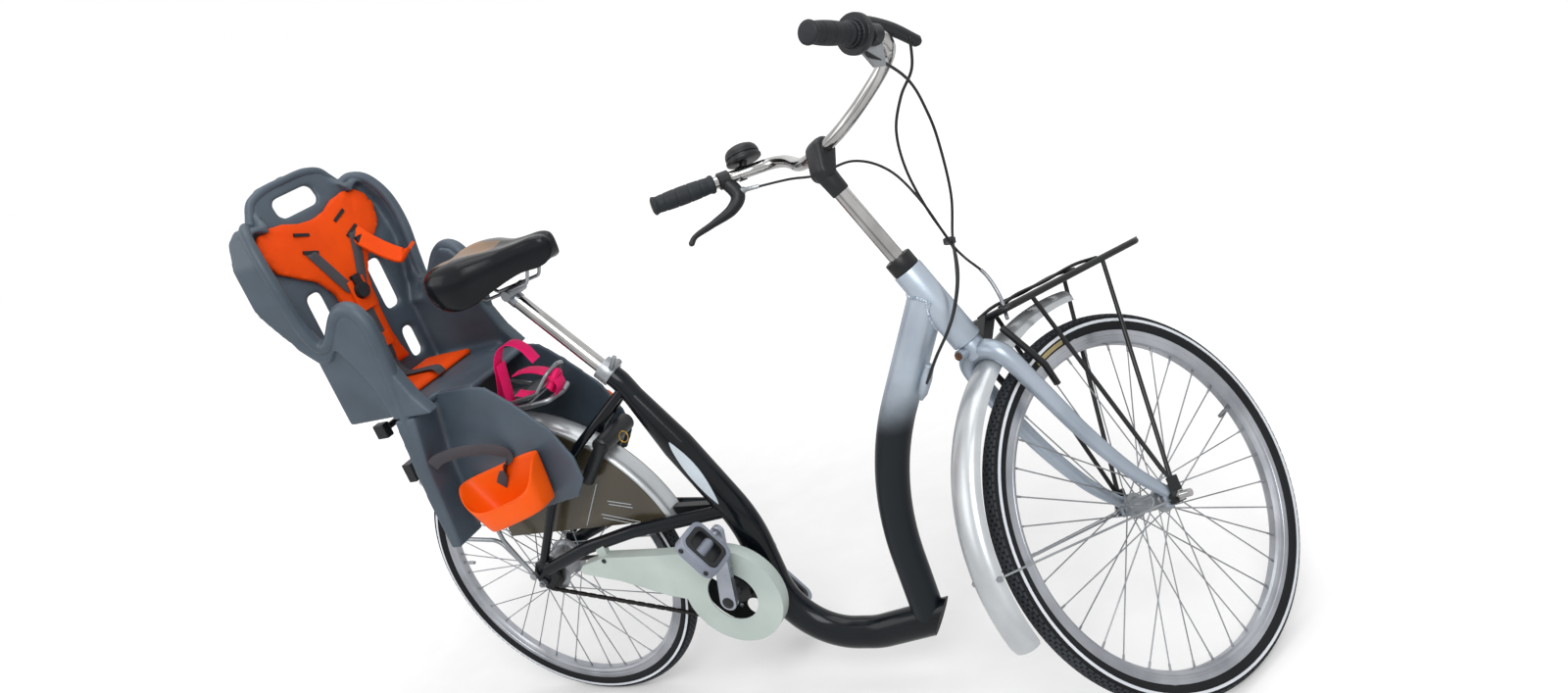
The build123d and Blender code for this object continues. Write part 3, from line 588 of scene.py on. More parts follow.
# Harness: shoulder straps, buckle and middle strap laid on the pads
harness = {
    "shoulder": [(0.068, 1.208), (0.06, 1.188), (0.05, 1.165), (0.04, 1.143), (0.03, 1.122), (0.02, 1.103)],
    "middle": (1.085, 1.05, 1.01, 0.97, 0.935, 0.915),
    "lap": [(-0.862, 0, 0.893), (-0.845, 0, 0.882), (-0.8, 0, 0.882), (-0.76, 0, 0.881), (-0.748, 0, 0.866)],
    "slots": [(0.066, 1.21), (0.06, 1.25)], "buckle": 1.09, "clip": (-0.868, 0.072, 1.188),
    "flap": [(-0.88, 0.072, 1.205), (-0.862, 0.076, 1.18), (-0.838, 0.086, 1.15), (-0.812, 0.098, 1.124),
        (-0.798, 0.104, 1.12), (-0.775, 0.112, 1.134)],
    "tongue": (1.118, 1.1, 1.08, 1.062, 1.046), "keeper": (0.985, 0.97, 0.955), "width": 0.026,
    "thickness": 0.0022}


# Point on the front of the pads at a height, lifted a little
def onPads(y, z, lift=0.0):
    hit, spot, normal, face = pads.ray_cast(place(-0.7, y, z), Vector((-1, 0, 0)))
    return (spot + Vector((0.0016, 0, 0)) if hit else place(-0.872, y, z)) + Vector((lift, 0, 0))


build = bmesh.new()
for hand in (-1, 1):
    line = [onPads(hand * y, z) for y, z in harness["shoulder"]]
    line = [line[0] + Vector((-0.01, 0, 0.003))] + line
    ribbon(build, curve(line, 4), sideways, harness["width"], harness["thickness"])
line = [onPads(0.0, z) for z in harness["middle"]] + [place(*p) for p in harness["lap"]]
ribbon(build, curve(line, 4), sideways, harness["width"], harness["thickness"])
piece("harnessWebbing", build, "webbing_grey", "frame", ("harness",), asDrawn)
build = bmesh.new()
for hand in (-1, 1):
    for y, z in harness["slots"]:
        tilt = Matrix.Rotation(hand * 0.35, 4, "X")
        block(build, (0.004, 0.04, 0.007), Matrix.Translation(onPads(hand * y, z)) @ tilt)
buckle = onPads(0, harness["buckle"])
facing = Matrix.Translation(buckle + Vector((0.008, 0, 0))) @ Matrix.Rotation(pi / 2, 4, "Y")
bmesh.ops.create_cone(build, cap_ends=True, segments=24, radius1=0.021, radius2=0.017, depth=0.016,
                      matrix=facing)
block(build, (0.01, 0.022, 0.03), Matrix.Translation(buckle + Vector((0.006, 0, 0.022))))
block(build, (0.006, 0.03, 0.014), Matrix.Translation(place(*harness["clip"])))
piece("harnessBuckle", build, "black_plastic", "frame", (), asDrawn, 30)
build = bmesh.new()
ribbon(build, curve([place(*p) for p in harness["flap"]], 5), Vector((0.15, 0.9, 0.4)), 0.04, 0.008)
ribbon(build, curve([onPads(0.0, z, 0.002) for z in harness["tongue"]], 4), sideways, 0.05, 0.006)
ribbon(build, curve([onPads(0.0, z, 0.003) for z in harness["keeper"]], 3), sideways, 0.04, 0.006)
piece("harnessPads", build, "pad_orange", "frame", (), asDrawn)
print("stage: harness")

# Foot cups: open shoes with thin rounded walls, low on the outside, and a strap over each
cup = {
    "centre": (-0.568, 0.154, 0.624), "length": 0.244, "width": 0.096, "tall": 0.112, "lean": -14,
    "wall": 0.004,
    "strap": [(-0.712, 0.178, 0.726), (-0.684, 0.176, 0.738), (-0.64, 0.16, 0.739), (-0.594, 0.138, 0.727),
        (-0.566, 0.12, 0.706), (-0.567, 0.114, 0.684), (-0.6, 0.113, 0.65), (-0.618, 0.113, 0.628)]}
cupLevels = [
    (0.0, 0.01), (0.03, 0.003), (0.08, 0.0), (0.5, 0.0), (0.99, 0.0), (1.0, 0.002), (0.99, cup["wall"]),
    (0.5, cup["wall"]), (0.12, cup["wall"]), (0.075, cup["wall"] + 0.003), (0.05, 0.012)]


def squarish(value, reach):
    return copysign(abs(value) ** 0.55, value) * reach


def cupRing(level, inset):
    points = []
    for k in range(40):
        c, s = cos(pi * k / 20), sin(pi * k / 20)
        u, v = squarish(c, cup["length"] / 2 - inset), squarish(s, cup["width"] / 2 - inset)
        rise = level
        if level > 0.5:
            outer = max(0.0, -v * 2 / cup["width"])
            rise = level - 0.62 * outer ** 1.2 - 0.06 * max(0.0, c) + 0.06 * max(0.0, -c)
        long, wide = 0.7 + 0.3 * min(rise, 1), 0.9 + 0.1 * min(rise, 1)  # flared upwards
        points.append(Vector((u * long, v * wide, (rise - 0.5) * cup["tall"])))
    return points


for hand, side in ((-1, "right"), (1, "left")):
    x, y, z = cup["centre"]
    at = (Matrix.Translation((x, hand * y, z)) @ Matrix.Rotation(radians(cup["lean"]), 4, "Y")
          @ Matrix.Diagonal((1, -hand, 1, 1)))
    build = bmesh.new()
    skin(build, [[at @ point for point in cupRing(level, inset)] for level, inset in cupLevels])
    finer(piece(f"{side}FootCup", build, "cup_orange", "frame", ("foot_cups",) if hand > 0 else ()))
    build = bmesh.new()
    line = [Vector((p.x, hand * p.y, p.z)) for p in curve(cup["strap"], 6)]
    turning = [max(0.0, i / len(line) - 0.45) / 0.55 for i in range(len(line))]
    sides = [Vector((0, 0.2 * hand, 1)).lerp(Vector((1, 0, 0.2)), t) for t in turning]
    ribbon(build, line, sides, 0.027, 0.0026)
    piece(f"{side}FootStrap", build, "webbing_grey", "frame")
print("stage: foot cups")

# Luggage straps: flat elastic bands and knots hooked round the seat's loop
bands = [
    ([(-0.6, -0.036, 0.744), (-0.58, -0.04, 0.79), (-0.56, -0.04, 0.835), (-0.546, -0.038, 0.876),
        (-0.528, -0.034, 0.9), (-0.5, -0.03, 0.908), (-0.474, -0.028, 0.892), (-0.458, -0.026, 0.858)], 0.03),
    ([(-0.536, -0.044, 0.872), (-0.546, -0.046, 0.82), (-0.557, -0.046, 0.764),
        (-0.556, -0.044, 0.735)], 0.03),
    ([(-0.532, -0.022, 0.836), (-0.5, -0.018, 0.838), (-0.466, -0.016, 0.83), (-0.44, -0.014, 0.812),
        (-0.434, -0.014, 0.792), (-0.45, -0.014, 0.774)], 0.032),
    ([(-0.54, -0.03, 0.796), (-0.515, -0.024, 0.786), (-0.49, -0.018, 0.792), (-0.468, -0.014, 0.806)],
        0.028)]
build = bmesh.new()
for line, width in bands:
    ribbon(build, curve(line, 6), sideways, width, 0.0026)
for x, z in ((-0.446, 0.806), (-0.462, 0.79)):
    knot = [(x, -0.024, z), (x + 0.01, -0.01, z + 0.012), (x, 0.006, z), (x - 0.01, -0.008, z - 0.014)]
    wire(build, curve(knot, 4), 0.0085, 8)
piece("luggageStraps", build, "strap_pink", "frame", ("luggage_straps",))

# Handlebar and what it carries, drawn straight ahead about the middle of the bar
bar = {
    "along": 0.815, "offset": (0.0085, 0, 0.0388), "radius": 0.0115,
    "right": ((0, -0.068, 0), (0.057, -0.185, 0.062), (0.007, -0.25, 0.074), (-0.167, -0.312, 0.068)),
    "bends": [(0.041, 0.041), (0.041, 0.088), (0.055, 0.06), (0.06, 0.055), (0.088, 0.041), (0.041, 0.041)]}
barCentre = onColumn(bar["along"]) + Vector(bar["offset"])
rightBar = [barCentre + Vector(p) for p in bar["right"]]
barEnd = rightBar[3]
inward = (rightBar[2] - barEnd).normalized()


def mirror(points):
    return [Vector((p[0], -p[1], p[2])) for p in points]


# Line with each corner rounded, beginning and ending the bend at the given distances
def rounding(points, bends, steps=8):
    line = [points[0]]
    for one, middle, two, (before, after) in zip(points, points[1:], points[2:], bends):
        start = middle + (one - middle).normalized() * before
        end = middle + (two - middle).normalized() * after
        for k in range(steps + 1):
            t = k / steps
            line.append((1 - t) ** 2 * start + 2 * t * (1 - t) * middle + t * t * end)
    return line + [points[-1]]


whole = rounding(mirror(rightBar[::-1]) + rightBar, bar["bends"])
piece("handlebarTube", wired((whole, bar["radius"], 24)), "chrome_plate", "front", ("handlebar",))

# Stem: a rounded clamp from the column to the bar, with a collar down the column
stem = {
    "low": 0.0175, "high": 0.0215, "top": 0.819,
    "levels": [(0.022, 0.55), (0.0205, 0.78), (0.016, 0.94), (0.008, 1.0)],
    "collar": [(0.772, 0.0158), (0.774, 0.0166), (0.796, 0.0176), (0.822, 0.0195)]}
clampEnds = ((onColumn(stem["top"]), stem["low"]), (barCentre, stem["high"]))


def stemRing(y, share):
    ring = []
    for k in range(40):
        out = Vector((cos(pi * k / 20), 0, sin(pi * k / 20)))
        reaches = [(spot.dot(out) + size * share, spot + out * size * share) for spot, size in clampEnds]
        ring.append((reaches[0] if reaches[0][0] >= reaches[1][0] else reaches[1])[1] + sideways * y)
    return ring


build = bmesh.new()
skin(build, [stemRing(-y, share) for y, share in stem["levels"]]
     + [stemRing(y, share) for y, share in stem["levels"][::-1]])
wire(build, *stepped(onColumn, stem["collar"]), 28)
piece("stemBody", build, "black_plastic", "front", ("stem",), sharp=50)


# Grip with a flange at each end, a slight belly and rings cut round it
def grip(name, length, over, node, left):
    start = barEnd - inward * over
    line, radii = [start + inward * 0.0004], [0.0118]
    steps = int(length / 0.0015)
    for k in range(steps + 1):
        s = k * length / steps
        flange = sum(0.0022 * max(0.0, 1 - abs(s - at) / 0.006) for at in (0.004, length - 0.004))
        belly = 0.002 * sin(pi * min(1.0, max(0.0, (s - 0.014) / (length - 0.028)))) ** 0.7
        groove = -0.0008 if 0.02 < s < length - 0.02 and s % 0.024 < 0.0028 else 0.0
        edge = -0.0035 * max(0.0, 1 - s / 0.003) ** 2
        line.append(start + inward * s)
        radii.append(0.016 + flange + belly + groove + edge)
    line.append(start + inward * (length + 0.0004))
    radii.append(0.0122)
    line = mirror(line) if left else line
    piece(name, wired((line, radii, 32)), "grip_rubber", "front", (node,), sharp=50)


grip("rightGrip", 0.102, 0.017, "right_grip", False)
grip("leftGrip", 0.124, 0.005, "left_grip", True)


# Clamp band on the bar and a blade led through steps from it
def lever(name, along, blade, radii, node, left):
    clamp = barEnd + inward * along
    band = [clamp + inward * s for s in (-0.012, -0.01, 0.01, 0.012)]
    path = curve([clamp] + [clamp + Vector(step) for step in blade])
    sizes = []
    for i in range(len(path) - 1):
        one, t = min(i // 8, len(radii) - 2), i % 8 / 8
        sizes.append(radii[one] * (1 - t) + radii[one + 1] * t)
    tip = path[-1] + (path[-1] - path[-2]).normalized() * radii[-1] * 0.6
    path, sizes = path + [tip], sizes + [radii[-1], radii[-1] * 0.55]
    band, path = (mirror(band), mirror(path)) if left else (band, path)
    build = wired((band, [0.0135, 0.0165, 0.0165, 0.0135], 20), (path, sizes, 16))
    piece(name, build, "black_plastic", "front", (node,), sharp=50)


lever("rightLever", 0.148, [(0.004, 0.014, 0.026), (0.06, 0.026, 0.016), (0.108, 0.034, -0.008)],
      [0.011, 0.0115, 0.0105, 0.0095], "right_brake_lever", False)
lever("leftLever", 0.14, [(0.012, 0.008, -0.036), (-0.008, 0.003, -0.06), (-0.052, -0.008, -0.076),
                          (-0.09, -0.015, -0.088), (-0.104, -0.018, -0.1)],
      [0.013, 0.0145, 0.0115, 0.0068, 0.0052, 0.0058], "left_brake_lever", True)

# Bell on the left: dome, stalk and clamp
bell = {
    "along": 0.176, "lift": (0.011, -0.008, 0.033), "scale": 1.05,
    "dome": [(0.004, -0.014), (0.03, -0.014), (0.0325, -0.0125), (0.0332, -0.009), (0.0322, -0.0065),
        (0.03, -0.006), (0.03, -0.0035), (0.0318, -0.0025), (0.0312, 0.003), (0.029, 0.0085), (0.0245, 0.013),
        (0.018, 0.0158), (0.009, 0.0172), (0.0005, 0.0175)]}
bellFoot, leftInward = mirror([barEnd + inward * bell["along"], inward])
bellSpot = bellFoot + Vector(bell["lift"])
build = bmesh.new()
lathe(build, bell["dome"], 48, False)
bmesh.ops.holes_fill(build, edges=[edge for edge in build.edges if edge.is_boundary])
upright = Matrix.Rotation(pi / 2, 4, "X") @ Matrix.Scale(bell["scale"], 4)
build.transform(Matrix.Translation(bellSpot) @ upright)
wire(build, [bellFoot + Vector((0.002, -0.002, 0.004)), bellSpot + Vector((0, 0, -0.012))], 0.007, 12)
wire(build, [bellFoot - leftInward * 0.007, bellFoot + leftInward * 0.007], 0.0142, 20)
piece("bellDome", build, "black_plastic", "front", ("bell",))

# Twist shifter's silver plate and ribs, and the barrel that tightens the left cable
shifter = {
    "plate": [(0.229, -0.268, 1.17), (0.292, -0.25, 1.18), (0.284, -0.245, 1.138), (0.258, -0.25, 1.137),
        (0.237, -0.262, 1.156)],
    "thick": (0.002, 0.007, 0),
    "barrel": ((-0.413, 0.258, 0.8), (-0.372, 0.229, 0.793)), "ribs": 26}
build = bmesh.new()
face = build.faces.new([build.verts.new(p) for p in shifter["plate"]])
thick = bmesh.ops.extrude_face_region(build, geom=[face])["geom"]
moved = [item for item in thick if isinstance(item, bmesh.types.BMVert)]
bmesh.ops.translate(build, verts=moved, vec=shifter["thick"])
start, end = [frontAxle + Vector(p) for p in shifter["barrel"]]
wire(build, [start.lerp(end, t) for t in (0, 0.45, 0.5, 1)], [0.0065, 0.0065, 0.0045, 0.004], 14)
piece("shifterPlate", build, "steel_grey", "front")
build = bmesh.new()
across = inward.orthogonal().normalized()
for k in range(shifter["ribs"]):
    t = 2 * pi * k / shifter["ribs"]
    foot = barEnd + inward * 0.088 + (cos(t) * across + sin(t) * inward.cross(across)) * 0.02
    wire(build, [foot, foot + inward * 0.008], 0.0013, 6)
piece("shifterRibs", build, "grip_rubber", "front")
print("stage: handlebar")

# Cables: routes about the front axle, straight ahead as far as the tie and then along the frame
cable = {"radius": 0.0025, "bendRadius": 0.0034, "bendSteps": 18}
brakeRun = [
    (-0.413, 0.258, 0.8), (-0.33, 0.2, 0.784), (-0.321, 0.12, 0.755), (-0.287, 0.05, 0.744),
    (-0.243, 0.022, 0.704), (-0.211, 0.012, 0.634), (-0.191, 0.006, 0.55), (-0.189, -0.012, 0.512),
    (-0.167, -0.02, 0.472), (-0.161, -0.026, 0.426), (-0.179, -0.042, 0.384)]
shiftRun = [
    (-0.447, -0.272, 0.806), (-0.33, -0.206, 0.776), (-0.261, -0.144, 0.734), (-0.218, -0.092, 0.688),
    (-0.191, -0.042, 0.617), (-0.188, -0.002, 0.555)]
rearRun = [
    (-0.322, -0.24, 0.828), (-0.307, -0.2, 0.792), (-0.314, -0.16, 0.765), (-0.309, -0.112, 0.726),
    (-0.283, -0.068, 0.672), (-0.241, -0.03, 0.608), (-0.195, 0.0, 0.543)]
downRun = [
    (-0.242, 0.06, 0.492), (-0.233, 0.01, 0.471), (-0.237, -0.03, 0.442), (-0.252, -0.05, 0.414),
    (-0.285, -0.05, 0.373), (-0.323, -0.03, 0.322)]
brakeLine = curve([frontAxle + Vector(p) for p in brakeRun])
sleeve, metalBend = brakeLine[:-cable["bendSteps"]], brakeLine[-cable["bendSteps"] - 1:]
piece("frontBrakeCable", wired((sleeve, cable["radius"], 8)), "cable_black", "front", ("front_brake_cable",))
piece("cableBend", wired((metalBend, cable["bendRadius"])), "steel_grey", "front")
for name, run, beside, node in (("shiftCable", shiftRun, -0.004, "shift_cable"),
                                ("rearBrakeCable", rearRun, 0.004, "rear_brake_cable")):
    line = [steer @ (frontAxle + Vector(p)) for p in run]
    line += [frontAxle + Vector(p) + sideways * beside for p in downRun]
    bent = piece(name, wired((curve(line), cable["radius"], 8)), "cable_black", None, (node,), sharp=180)
    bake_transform(bent)
# silver cover on the down tube where the cables go in
portTop, portLow = frontAxle + Vector((-0.31, -0.024, 0.352)), frontAxle + Vector((-0.35, -0.02, 0.286))
port = [(0, 0.0045), (0.03, 0.0075), (0.4, 0.01), (0.8, 0.0085), (1, 0.003)]
build = wired((*stepped(lambda t: portTop.lerp(portLow, t), port), 18))
piece("cablePort", build, "frame_silver", "frame", ("cable_port",))
print("stage: cables")

# Fork: crown, bent legs that taper to the dropouts, and the boss with its bolt
fork = {
    "crown": [(0.405, 0.018), (0.409, 0.022), (0.433, 0.022), (0.439, 0.02)], "boss": 0.423,
    "bossReach": (-0.036, 0, -0.006), "top": 0.0175, "taper": 0.0075,
    "leg": [(-0.231, 0.0, 0.352), (-0.228, -0.026, 0.347), (-0.218, -0.047, 0.326), (-0.184, -0.055, 0.256),
        (-0.13, -0.057, 0.158), (-0.066, -0.057, 0.068), (-0.004, -0.055, 0.008)]}
build = bmesh.new()
wire(build, *stepped(onColumn, fork["crown"]), 28)
boss = onColumn(fork["boss"])
bossEnd = boss + Vector(fork["bossReach"])
wire(build, [boss, bossEnd], 0.01, 20)
for hand in (1, -1):
    leg = curve([frontAxle + Vector((x, y * hand, z)) for x, y, z in fork["leg"]])
    sizes = [fork["top"] - fork["taper"] * max(0.0, (i / len(leg) - 0.3) / 0.7) for i in range(len(leg))]
    wire(build, leg, sizes, 24)
    block(build, (0.03, 0.008, 0.036), Matrix.Translation(frontAxle + Vector((0.0, -0.054 * hand, 0.004))))
piece("forkLegs", build, "fork_silver", "front", ("fork",), sharp=35)
boltEnd = bossEnd + (bossEnd - boss).normalized() * 0.004
piece("crownBolt", wired(([bossEnd, boltEnd], 0.0075, 6)), "bolt_rust", "front")

# Weld bead round the joint of the down tube and the head tube
weld = {"headRadius": 0.027, "radius": 0.003, "ripple": 0.0006, "step": 0.0016}
columnRow = toRow @ columnBase
joint = []
for vertex in nodes["down_tube"].data.vertices:
    arm = vertex.co - columnRow
    if abs((arm - columnWay * arm.dot(columnWay)).length - weld["headRadius"]) < 0.0002:
        joint.append(vertex.co.copy())
if len(joint) > 8:
    middle = sum(joint, Vector()) / len(joint)
    upward = (place(0.184, 0, 0.478) - middle).normalized().cross(sideways)
    joint.sort(key=lambda p: atan2((p - middle).dot(sideways), (p - middle).dot(upward)))
    bead = []
    for one, two in zip(joint, joint[1:] + joint[:1]):
        steps = max(1, round((two - one).length / weld["step"]))
        bead += [one.lerp(two, k / steps) for k in range(steps)]
    sizes = [weld["radius"] + weld["ripple"] * sin(i * 2.1) for i in range(len(bead))]
    piece("weldBead", wired((bead, sizes, 8, True)), "frame_silver", "frame", (), asDrawn)
print("stage: fork")

# Mudguards: rolled sheet with a rounded crown
guard = {"rise": 0.0145, "wall": 0.0016, "steps": 90, "endInset": 0.006, "endLength": 0.01}


def mudguard(name, spot, radius, start, end, node, body, widest, skirt):
    rings = []
    for i in range(guard["steps"] + 1):
        a = radians(start + (end - start) * i / guard["steps"])
        toEnd = min(i, guard["steps"] - i) * radians(end - start) / guard["steps"] * radius
        half = widest - guard["endInset"] * max(0.0, 1 - toEnd / guard["endLength"]) ** 2
        ring = []
        for wall in (0.0, -guard["wall"]):
            leans = [radians(-90 + 15 * k) for k in (range(13) if wall == 0.0 else range(12, -1, -1))]
            for lean in leans:
                r = radius - skirt + (guard["rise"] + skirt + wall) * max(0.0, cos(lean)) ** 0.7
                ring.append((r * cos(a), (half + wall) * sin(lean), r * sin(a)))
        rings.append(ring)
    build = bmesh.new()
    skin(build, rings)
    piece(name, build, "mudguard_silver", body, (node,), toRow @ spot, 50)


mudguard("frontMudguard", wheels["front"]["spot"], 0.391, 91, 200, "front_mudguard", "front", 0.033, 0.01)
mudguard("rearMudguard", wheels["rear"]["spot"], 0.38, 12, 137, "rear_mudguard", "frame", 0.029, 0.0)
build = bmesh.new()
bracketSpot = Matrix.Translation(rearAxle + Vector((0.432, 0, 0.106))) @ Matrix.Rotation(0.04, 4, "Y")
block(build, (0.11, 0.018, 0.026), bracketSpot)
piece("mudguardBracket", build, "black_steel", "frame")
# nuts where the front stays meet the mudguard
build = bmesh.new()
for hand in (-1, 1):
    wire(build, [frontAxle + Vector((-0.39, hand * y, -0.01)) for y in (0.03, 0.036)], 0.0055, 6)
piece("stayNuts", build, "steel_grey", "front")
print("stage: mudguards")

# Pedals: grey cage, black tread ring inside it, a barrel on the axle and two caps
pedal = {
    "tilt": 58,
    "cage": ((0.098, 0.084), (0.08, 0.066), 0.0125),
    "tread": ((0.0795, 0.0655), (0.062, 0.05), 0.0135), "web": (0.064, 0.052, 0.005), "barrel": 0.0115}


def ringPlate(build, outer, inner, high, matrix, slot):
    loops = []
    for length, width, z in ((*outer, high), (*inner, high), (*inner, -high), (*outer, -high)):
        bend = min(length, width) * 0.24
        ring = []
        for k in range(32):
            c, s = cos(pi * (k + 0.5) / 16), sin(pi * (k + 0.5) / 16)
            ring.append(matrix @ Vector((copysign(length / 2 - bend, c) + bend * c,
                                         copysign(width / 2 - bend, s) + bend * s, z)))
        loops.append(ring)
    skin(build, loops, True, slot)


for side, x, z, hand in (("right", 0.5277, 0.1043, -1), ("left", 0.4483, -0.2263, 1)):
    build = bmesh.new()
    at = (Matrix.Translation(rearAxle + Vector((x, hand * 0.164, z)))
          @ Matrix.Rotation(radians(pedal["tilt"]), 4, "Y"))
    ringPlate(build, *pedal["cage"], at, 0)
    ringPlate(build, *pedal["tread"], at, 1)
    block(build, pedal["web"], at, 1)
    wire(build, [at @ Vector((0, y, 0)) for y in (-0.04, 0.04)], pedal["barrel"], 24)
    for u in (-0.032, 0.032):
        wire(build, [at @ Vector((u, hand * y, 0)) for y in (0.0415, 0.044)], 0.0055, 12, False, 1)
    node = f"{side}_pedal"
    bevelled(piece(f"{side}Pedal", build, ("pedal_mix", "black_plastic"), node, (node,)), 0.0016, 40)


# Domed bolt heads pointing to the right, each with its steps (y, radius)
def boltHeads(name, spots, heads, sides, look, body):
    build = bmesh.new()
    for spot in spots:
        wire(build, *stepped(lambda y: spot + sideways * y, heads), sides)
    piece(name, build, look, body)


boltHeads("crankBolt", [crankAxis], [(-0.105, 0.0125), (-0.1085, 0.0125), (-0.11, 0.0095)], 20,
          "black_plastic", "crank")
boltHeads("ringBolts", [arcPoint(crankAxis, 0.05, 2 * pi * (k + 0.5) / 5) for k in range(5)],
          [(-0.044, 0.0048), (-0.0475, 0.0048), (-0.0485, 0.0034)], 12, "steel_grey", "crank")
boltHeads("guardBolt", [Vector((-0.47, 0, 0.4))],
          [(-0.082, 0.0052), (-0.0865, 0.0052), (-0.0875, 0.0036)], 12, "black_plastic", "frame")
# pressed ribs of the coat guards, as (x, z) ends
guardRibs = [
    ((-0.436, 0.516), (-0.379, 0.501)), ((-0.436, 0.508), (-0.379, 0.493)), ((-0.467, 0.486),
        (-0.375, 0.457)),
    ((-0.467, 0.477), (-0.375, 0.448)), ((-0.52, 0.462), (-0.444, 0.56))]
build = bmesh.new()
for hand in (-1, 1):
    for ends in guardRibs:
        wire(build, [(x, hand * 0.0322, z) for x, z in ends], 0.0009, 6)
piece("coatGuardRibs", build, "film_pale", "frame")
print("stage: pedals")

# Blank lens-shaped film on the seat tube, laid on its surface
film = {
    "high": (-0.225, 0, 0.629), "low": (-0.169, 0, 0.478), "half": 0.0135, "rows": 24, "lift": 0.0006,
    "sink": 0.0012}
high, low = Vector(film["high"]), Vector(film["low"])
way = (low - high).normalized()
across = Vector((-way.z, 0, way.x))
rings = []
for i in range(film["rows"] + 1):
    t = i / film["rows"]
    half = film["half"] * sin(pi * t) ** 0.8 + 0.0006
    row = []
    for k in range(-3, 4):
        spot = high.lerp(low, t) + across * half * k / 3
        hit, at, normal, face = nodes["seat_tube"].ray_cast(place(spot.x, -0.2, spot.z), sideways)
        row.append(at if hit else place(spot.x, -0.028, spot.z))
    under = [at + sideways * film["sink"] for at in row[::-1]]
    rings.append([at - sideways * film["lift"] for at in row] + under)
build = bmesh.new()
skin(build, rings)
piece("tubeFilm", build, "film_pale", "frame", (), asDrawn)
# blank tan label on the front tyre
label = {"radii": (0.3195, 0.3235, 0.3275), "start": 101, "sweep": 13, "steps": 12}
section = [(r, -0.955 * tyreSide(r)) for r in label["radii"]]
section += [(r, y * 0.9) for r, y in section[::-1]]
rings = []
for i in range(label["steps"] + 1):
    a = radians(label["start"] + label["sweep"] * i / label["steps"])
    rings.append([(r * cos(a), y, r * sin(a)) for r, y in section])
build = bmesh.new()
skin(build, rings)
piece("tyreLabel", build, "label_tan", "front_wheel", (), toRow @ wheels["front"]["spot"])

# Child seat rim: a rolled edge from the handle over the wing and arm down to the foot
rimLine = [
    (-0.255, 0.0, 0.593), (-0.256, -0.036, 0.593), (-0.256, -0.07, 0.59), (-0.256, -0.105, 0.578),
    (-0.254, -0.124, 0.554), (-0.25, -0.139, 0.536), (-0.236, -0.164, 0.54), (-0.214, -0.188, 0.522),
    (-0.194, -0.203, 0.47), (-0.186, -0.204, 0.4), (-0.188, -0.194, 0.32), (-0.18, -0.182, 0.268),
    (-0.15, -0.176, 0.268), (-0.102, -0.174, 0.314), (-0.07, -0.174, 0.328), (-0.042, -0.174, 0.318),
    (-0.026, -0.174, 0.286), (-0.024, -0.173, 0.24), (-0.032, -0.172, 0.17), (-0.045, -0.17, 0.09),
    (-0.058, -0.168, 0.02), (-0.07, -0.166, -0.07), (-0.076, -0.164, -0.15), (-0.082, -0.162, -0.236)]
build = bmesh.new()
for hand in (1, -1):
    line = curve([rearAxle + Vector((x, y * hand, z + 0.42)) for x, y, z in rimLine], 6)
    shares = [i / len(line) for i in range(len(line))]
    sizes = [0.0085 + 0.0075 * min(1.0, t * 1.6) - 0.003 * max(0.0, t - 0.85) / 0.15 for t in shares]
    wire(build, line, sizes, 16)
piece("seatRim", build, "seat_plastic", "frame")
print("stage: labels and rim")

# Lock housing over the wheel and its thick right arm
lock = {
    "housing": [(-0.062, 0.013), (-0.056, 0.019), (0.056, 0.019), (0.062, 0.013)],
    "arm": [(0.312, 0.316), (0.296, 0.296), (0.262, 0.262), (0.232, 0.232)], "armRadius": 0.0145}
housing = stepped(lambda y: rearAxle + Vector((0.303, y, 0.305)), lock["housing"])
arm = curve([rearAxle + Vector((x, -0.054, z)) for x, z in lock["arm"]], 4)
piece("lockHousing", wired((*housing, 20), (arm, lock["armRadius"], 16)), "black_plastic", "frame")

# Sprung clip and slats on the front rack's deck, which rises to the front
rack = {
    "clip": [(-0.176, 0.006), (-0.13, 0.013), (-0.06, 0.011), (0.02, 0.013), (0.08, 0.006)],
    "slats": (-0.165, -0.11, -0.055, 0.0, 0.055, 0.11, 0.16), "slope": 0.135, "tilt": -0.134}


def onDeck(x, y, lift):
    return frontAxle + Vector((x, y, 0.4 + (x + 0.186) * rack["slope"] + lift))


build = bmesh.new()
for y in (-0.03, 0.03):
    wire(build, curve([onDeck(x, y, lift) for x, lift in rack["clip"]], 6), 0.0032, 8)
for x in rack["slats"]:
    tilt = Matrix.Rotation(rack["tilt"], 4, "Y")
    block(build, (0.03, 0.096, 0.005), Matrix.Translation(onDeck(x, 0, 0.004)) @ tilt)
piece("rackClip", build, "black_steel", "front")
# brass key ring hanging from the lock
ringSpot = Vector((-0.3, -0.06, 0.672))
turns = [2 * pi * k / 24 for k in range(24)]
line = [ringSpot + Vector((0.011 * cos(t), 0.003 * sin(t), 0.011 * sin(t))) for t in turns]
piece("keyRing", wired((line, 0.0014, 8, True)), "brass", "frame")
print("stage: fittings")

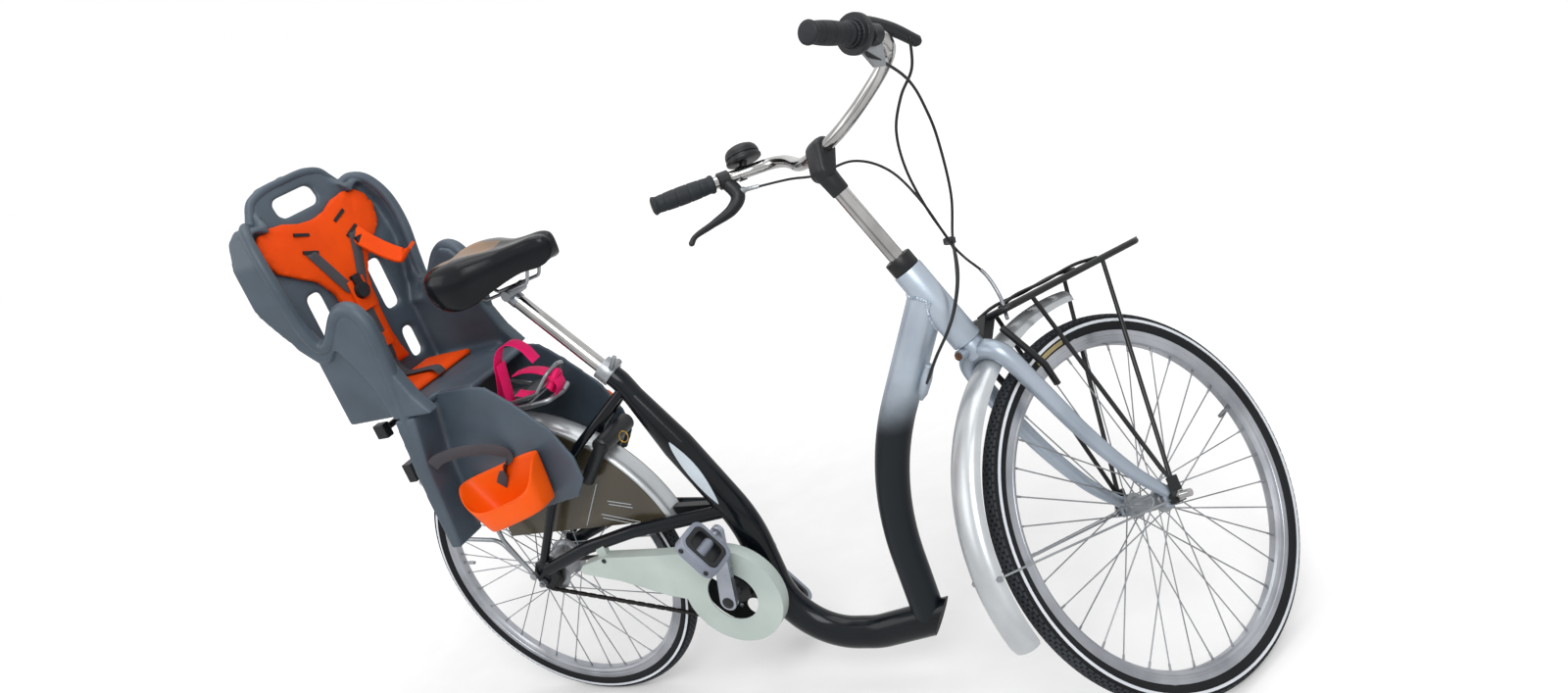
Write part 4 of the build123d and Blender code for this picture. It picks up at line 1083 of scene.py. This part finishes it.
# Studio: a floor that keeps the shadow and whitens away from the bicycle where it is seen
floorMesh = bpy.data.meshes.new("floor")
floorBuild = bmesh.new()
bmesh.ops.create_grid(floorBuild, x_segments=1, y_segments=1, size=30.0)
floorBuild.to_mesh(floorMesh)
floorBuild.free()
floor = bpy.data.objects.new("floor", floorMesh)
floor.location = (0, 0, cadBox[0][2])
scene.collection.objects.link(floor)
paper = surface("floor_paper", "#e4e4e4", "#e1e1e1", 0.85, 0.9, specular=0.0)
tree = paper.node_tree
shader = tree.nodes["Principled BSDF"]
shader.inputs["Emission Color"].default_value = (1, 1, 1, 1)
seen = addNode(tree, "LightPath").outputs["Is Camera Ray"]
spot = addNode(tree, "TexCoord").outputs["Object"]
away = addNode(tree, "VectorMath", {0: spot}, operation="LENGTH").outputs["Value"]
whiter = addNode(tree, "MapRange", {"Value": away, "From Min": 0.8, "From Max": 3.2, "To Min": 0.12,
                                              "To Max": 0.62})
glow = addNode(tree, "Math", {0: seen, 1: whiter.outputs["Result"]}, operation="MULTIPLY")
tree.links.new(glow.outputs["Value"], shader.inputs["Emission Strength"])
floorMesh.materials.append(paper)
# world: white where it is seen or mirrored, and plain soft light elsewhere
world = bpy.data.worlds.new("studio")
world.use_nodes = True
tree = world.node_tree
rays = addNode(tree, "LightPath").outputs
clear = rays["Is Camera Ray"]
for ray in ("Is Glossy Ray", "Is Transmission Ray"):
    clear = addNode(tree, "Math", {0: clear, 1: rays[ray]}, operation="MAXIMUM").outputs["Value"]
level = addNode(tree, "MapRange", {"Value": clear, "To Min": 0.62, "To Max": 1.0})
tree.nodes["Background"].inputs["Color"].default_value = (1, 1, 1, 1)
tree.links.new(level.outputs["Result"], tree.nodes["Background"].inputs["Strength"])
scene.world = world
# lamps: name, place, size in metres, power in watts
lamps = [
    ("key", (1.6, -3.0, 3.4), 2.4, 105), ("fill", (-3.2, -2.4, 2.6), 2.4, 30), ("top", (-0.3, 0.4, 4.2), 3.0,
        55)]
for name, spot, size, power in lamps:
    data = bpy.data.lights.new(name, "AREA")
    data.size, data.energy = size, power
    lamp = bpy.data.objects.new(name, data)
    lamp.location = place(*spot)
    lamp.rotation_euler = (place(-0.1, 0, 0.6) - lamp.location).to_track_quat("-Z", "Y").to_euler()
    scene.collection.objects.link(lamp)

# Camera as the photograph was taken, from the right and ahead, with the picture rolled; sizes in pixels
view = {
    "spot": (1.18039, -1.85089, 1.47543), "target": (-0.1989, 0.0952, 0.6426), "roll": -0.393,
    "focal": 1240.53, "centre": (717.77, 414.5), "picture": (1600, 707), "sensor": 36.0}
wide, tall = view["picture"]
cameraData = bpy.data.cameras.new("camera")
cameraData.sensor_width = view["sensor"]
cameraData.lens = view["focal"] * view["sensor"] / wide
cameraData.shift_x = (wide / 2 - view["centre"][0]) / wide
cameraData.shift_y = (view["centre"][1] - tall / 2) / wide
camera = bpy.data.objects.new("camera", cameraData)
ahead = (Vector(view["target"]) - Vector(view["spot"])).normalized()
right = ahead.cross(Vector((0, 0, 1))).normalized()
up = right.cross(ahead)
cosine, sine = cos(view["roll"]), sin(view["roll"])
spin = Matrix((cosine * right + sine * up, cosine * up - sine * right, -ahead)).transposed().to_4x4()
camera.matrix_world = Matrix.Translation(place(*view["spot"])) @ spin
scene.collection.objects.link(camera)
scene.camera = camera
scene.view_settings.view_transform = "Standard"
print("stage: studio and camera")
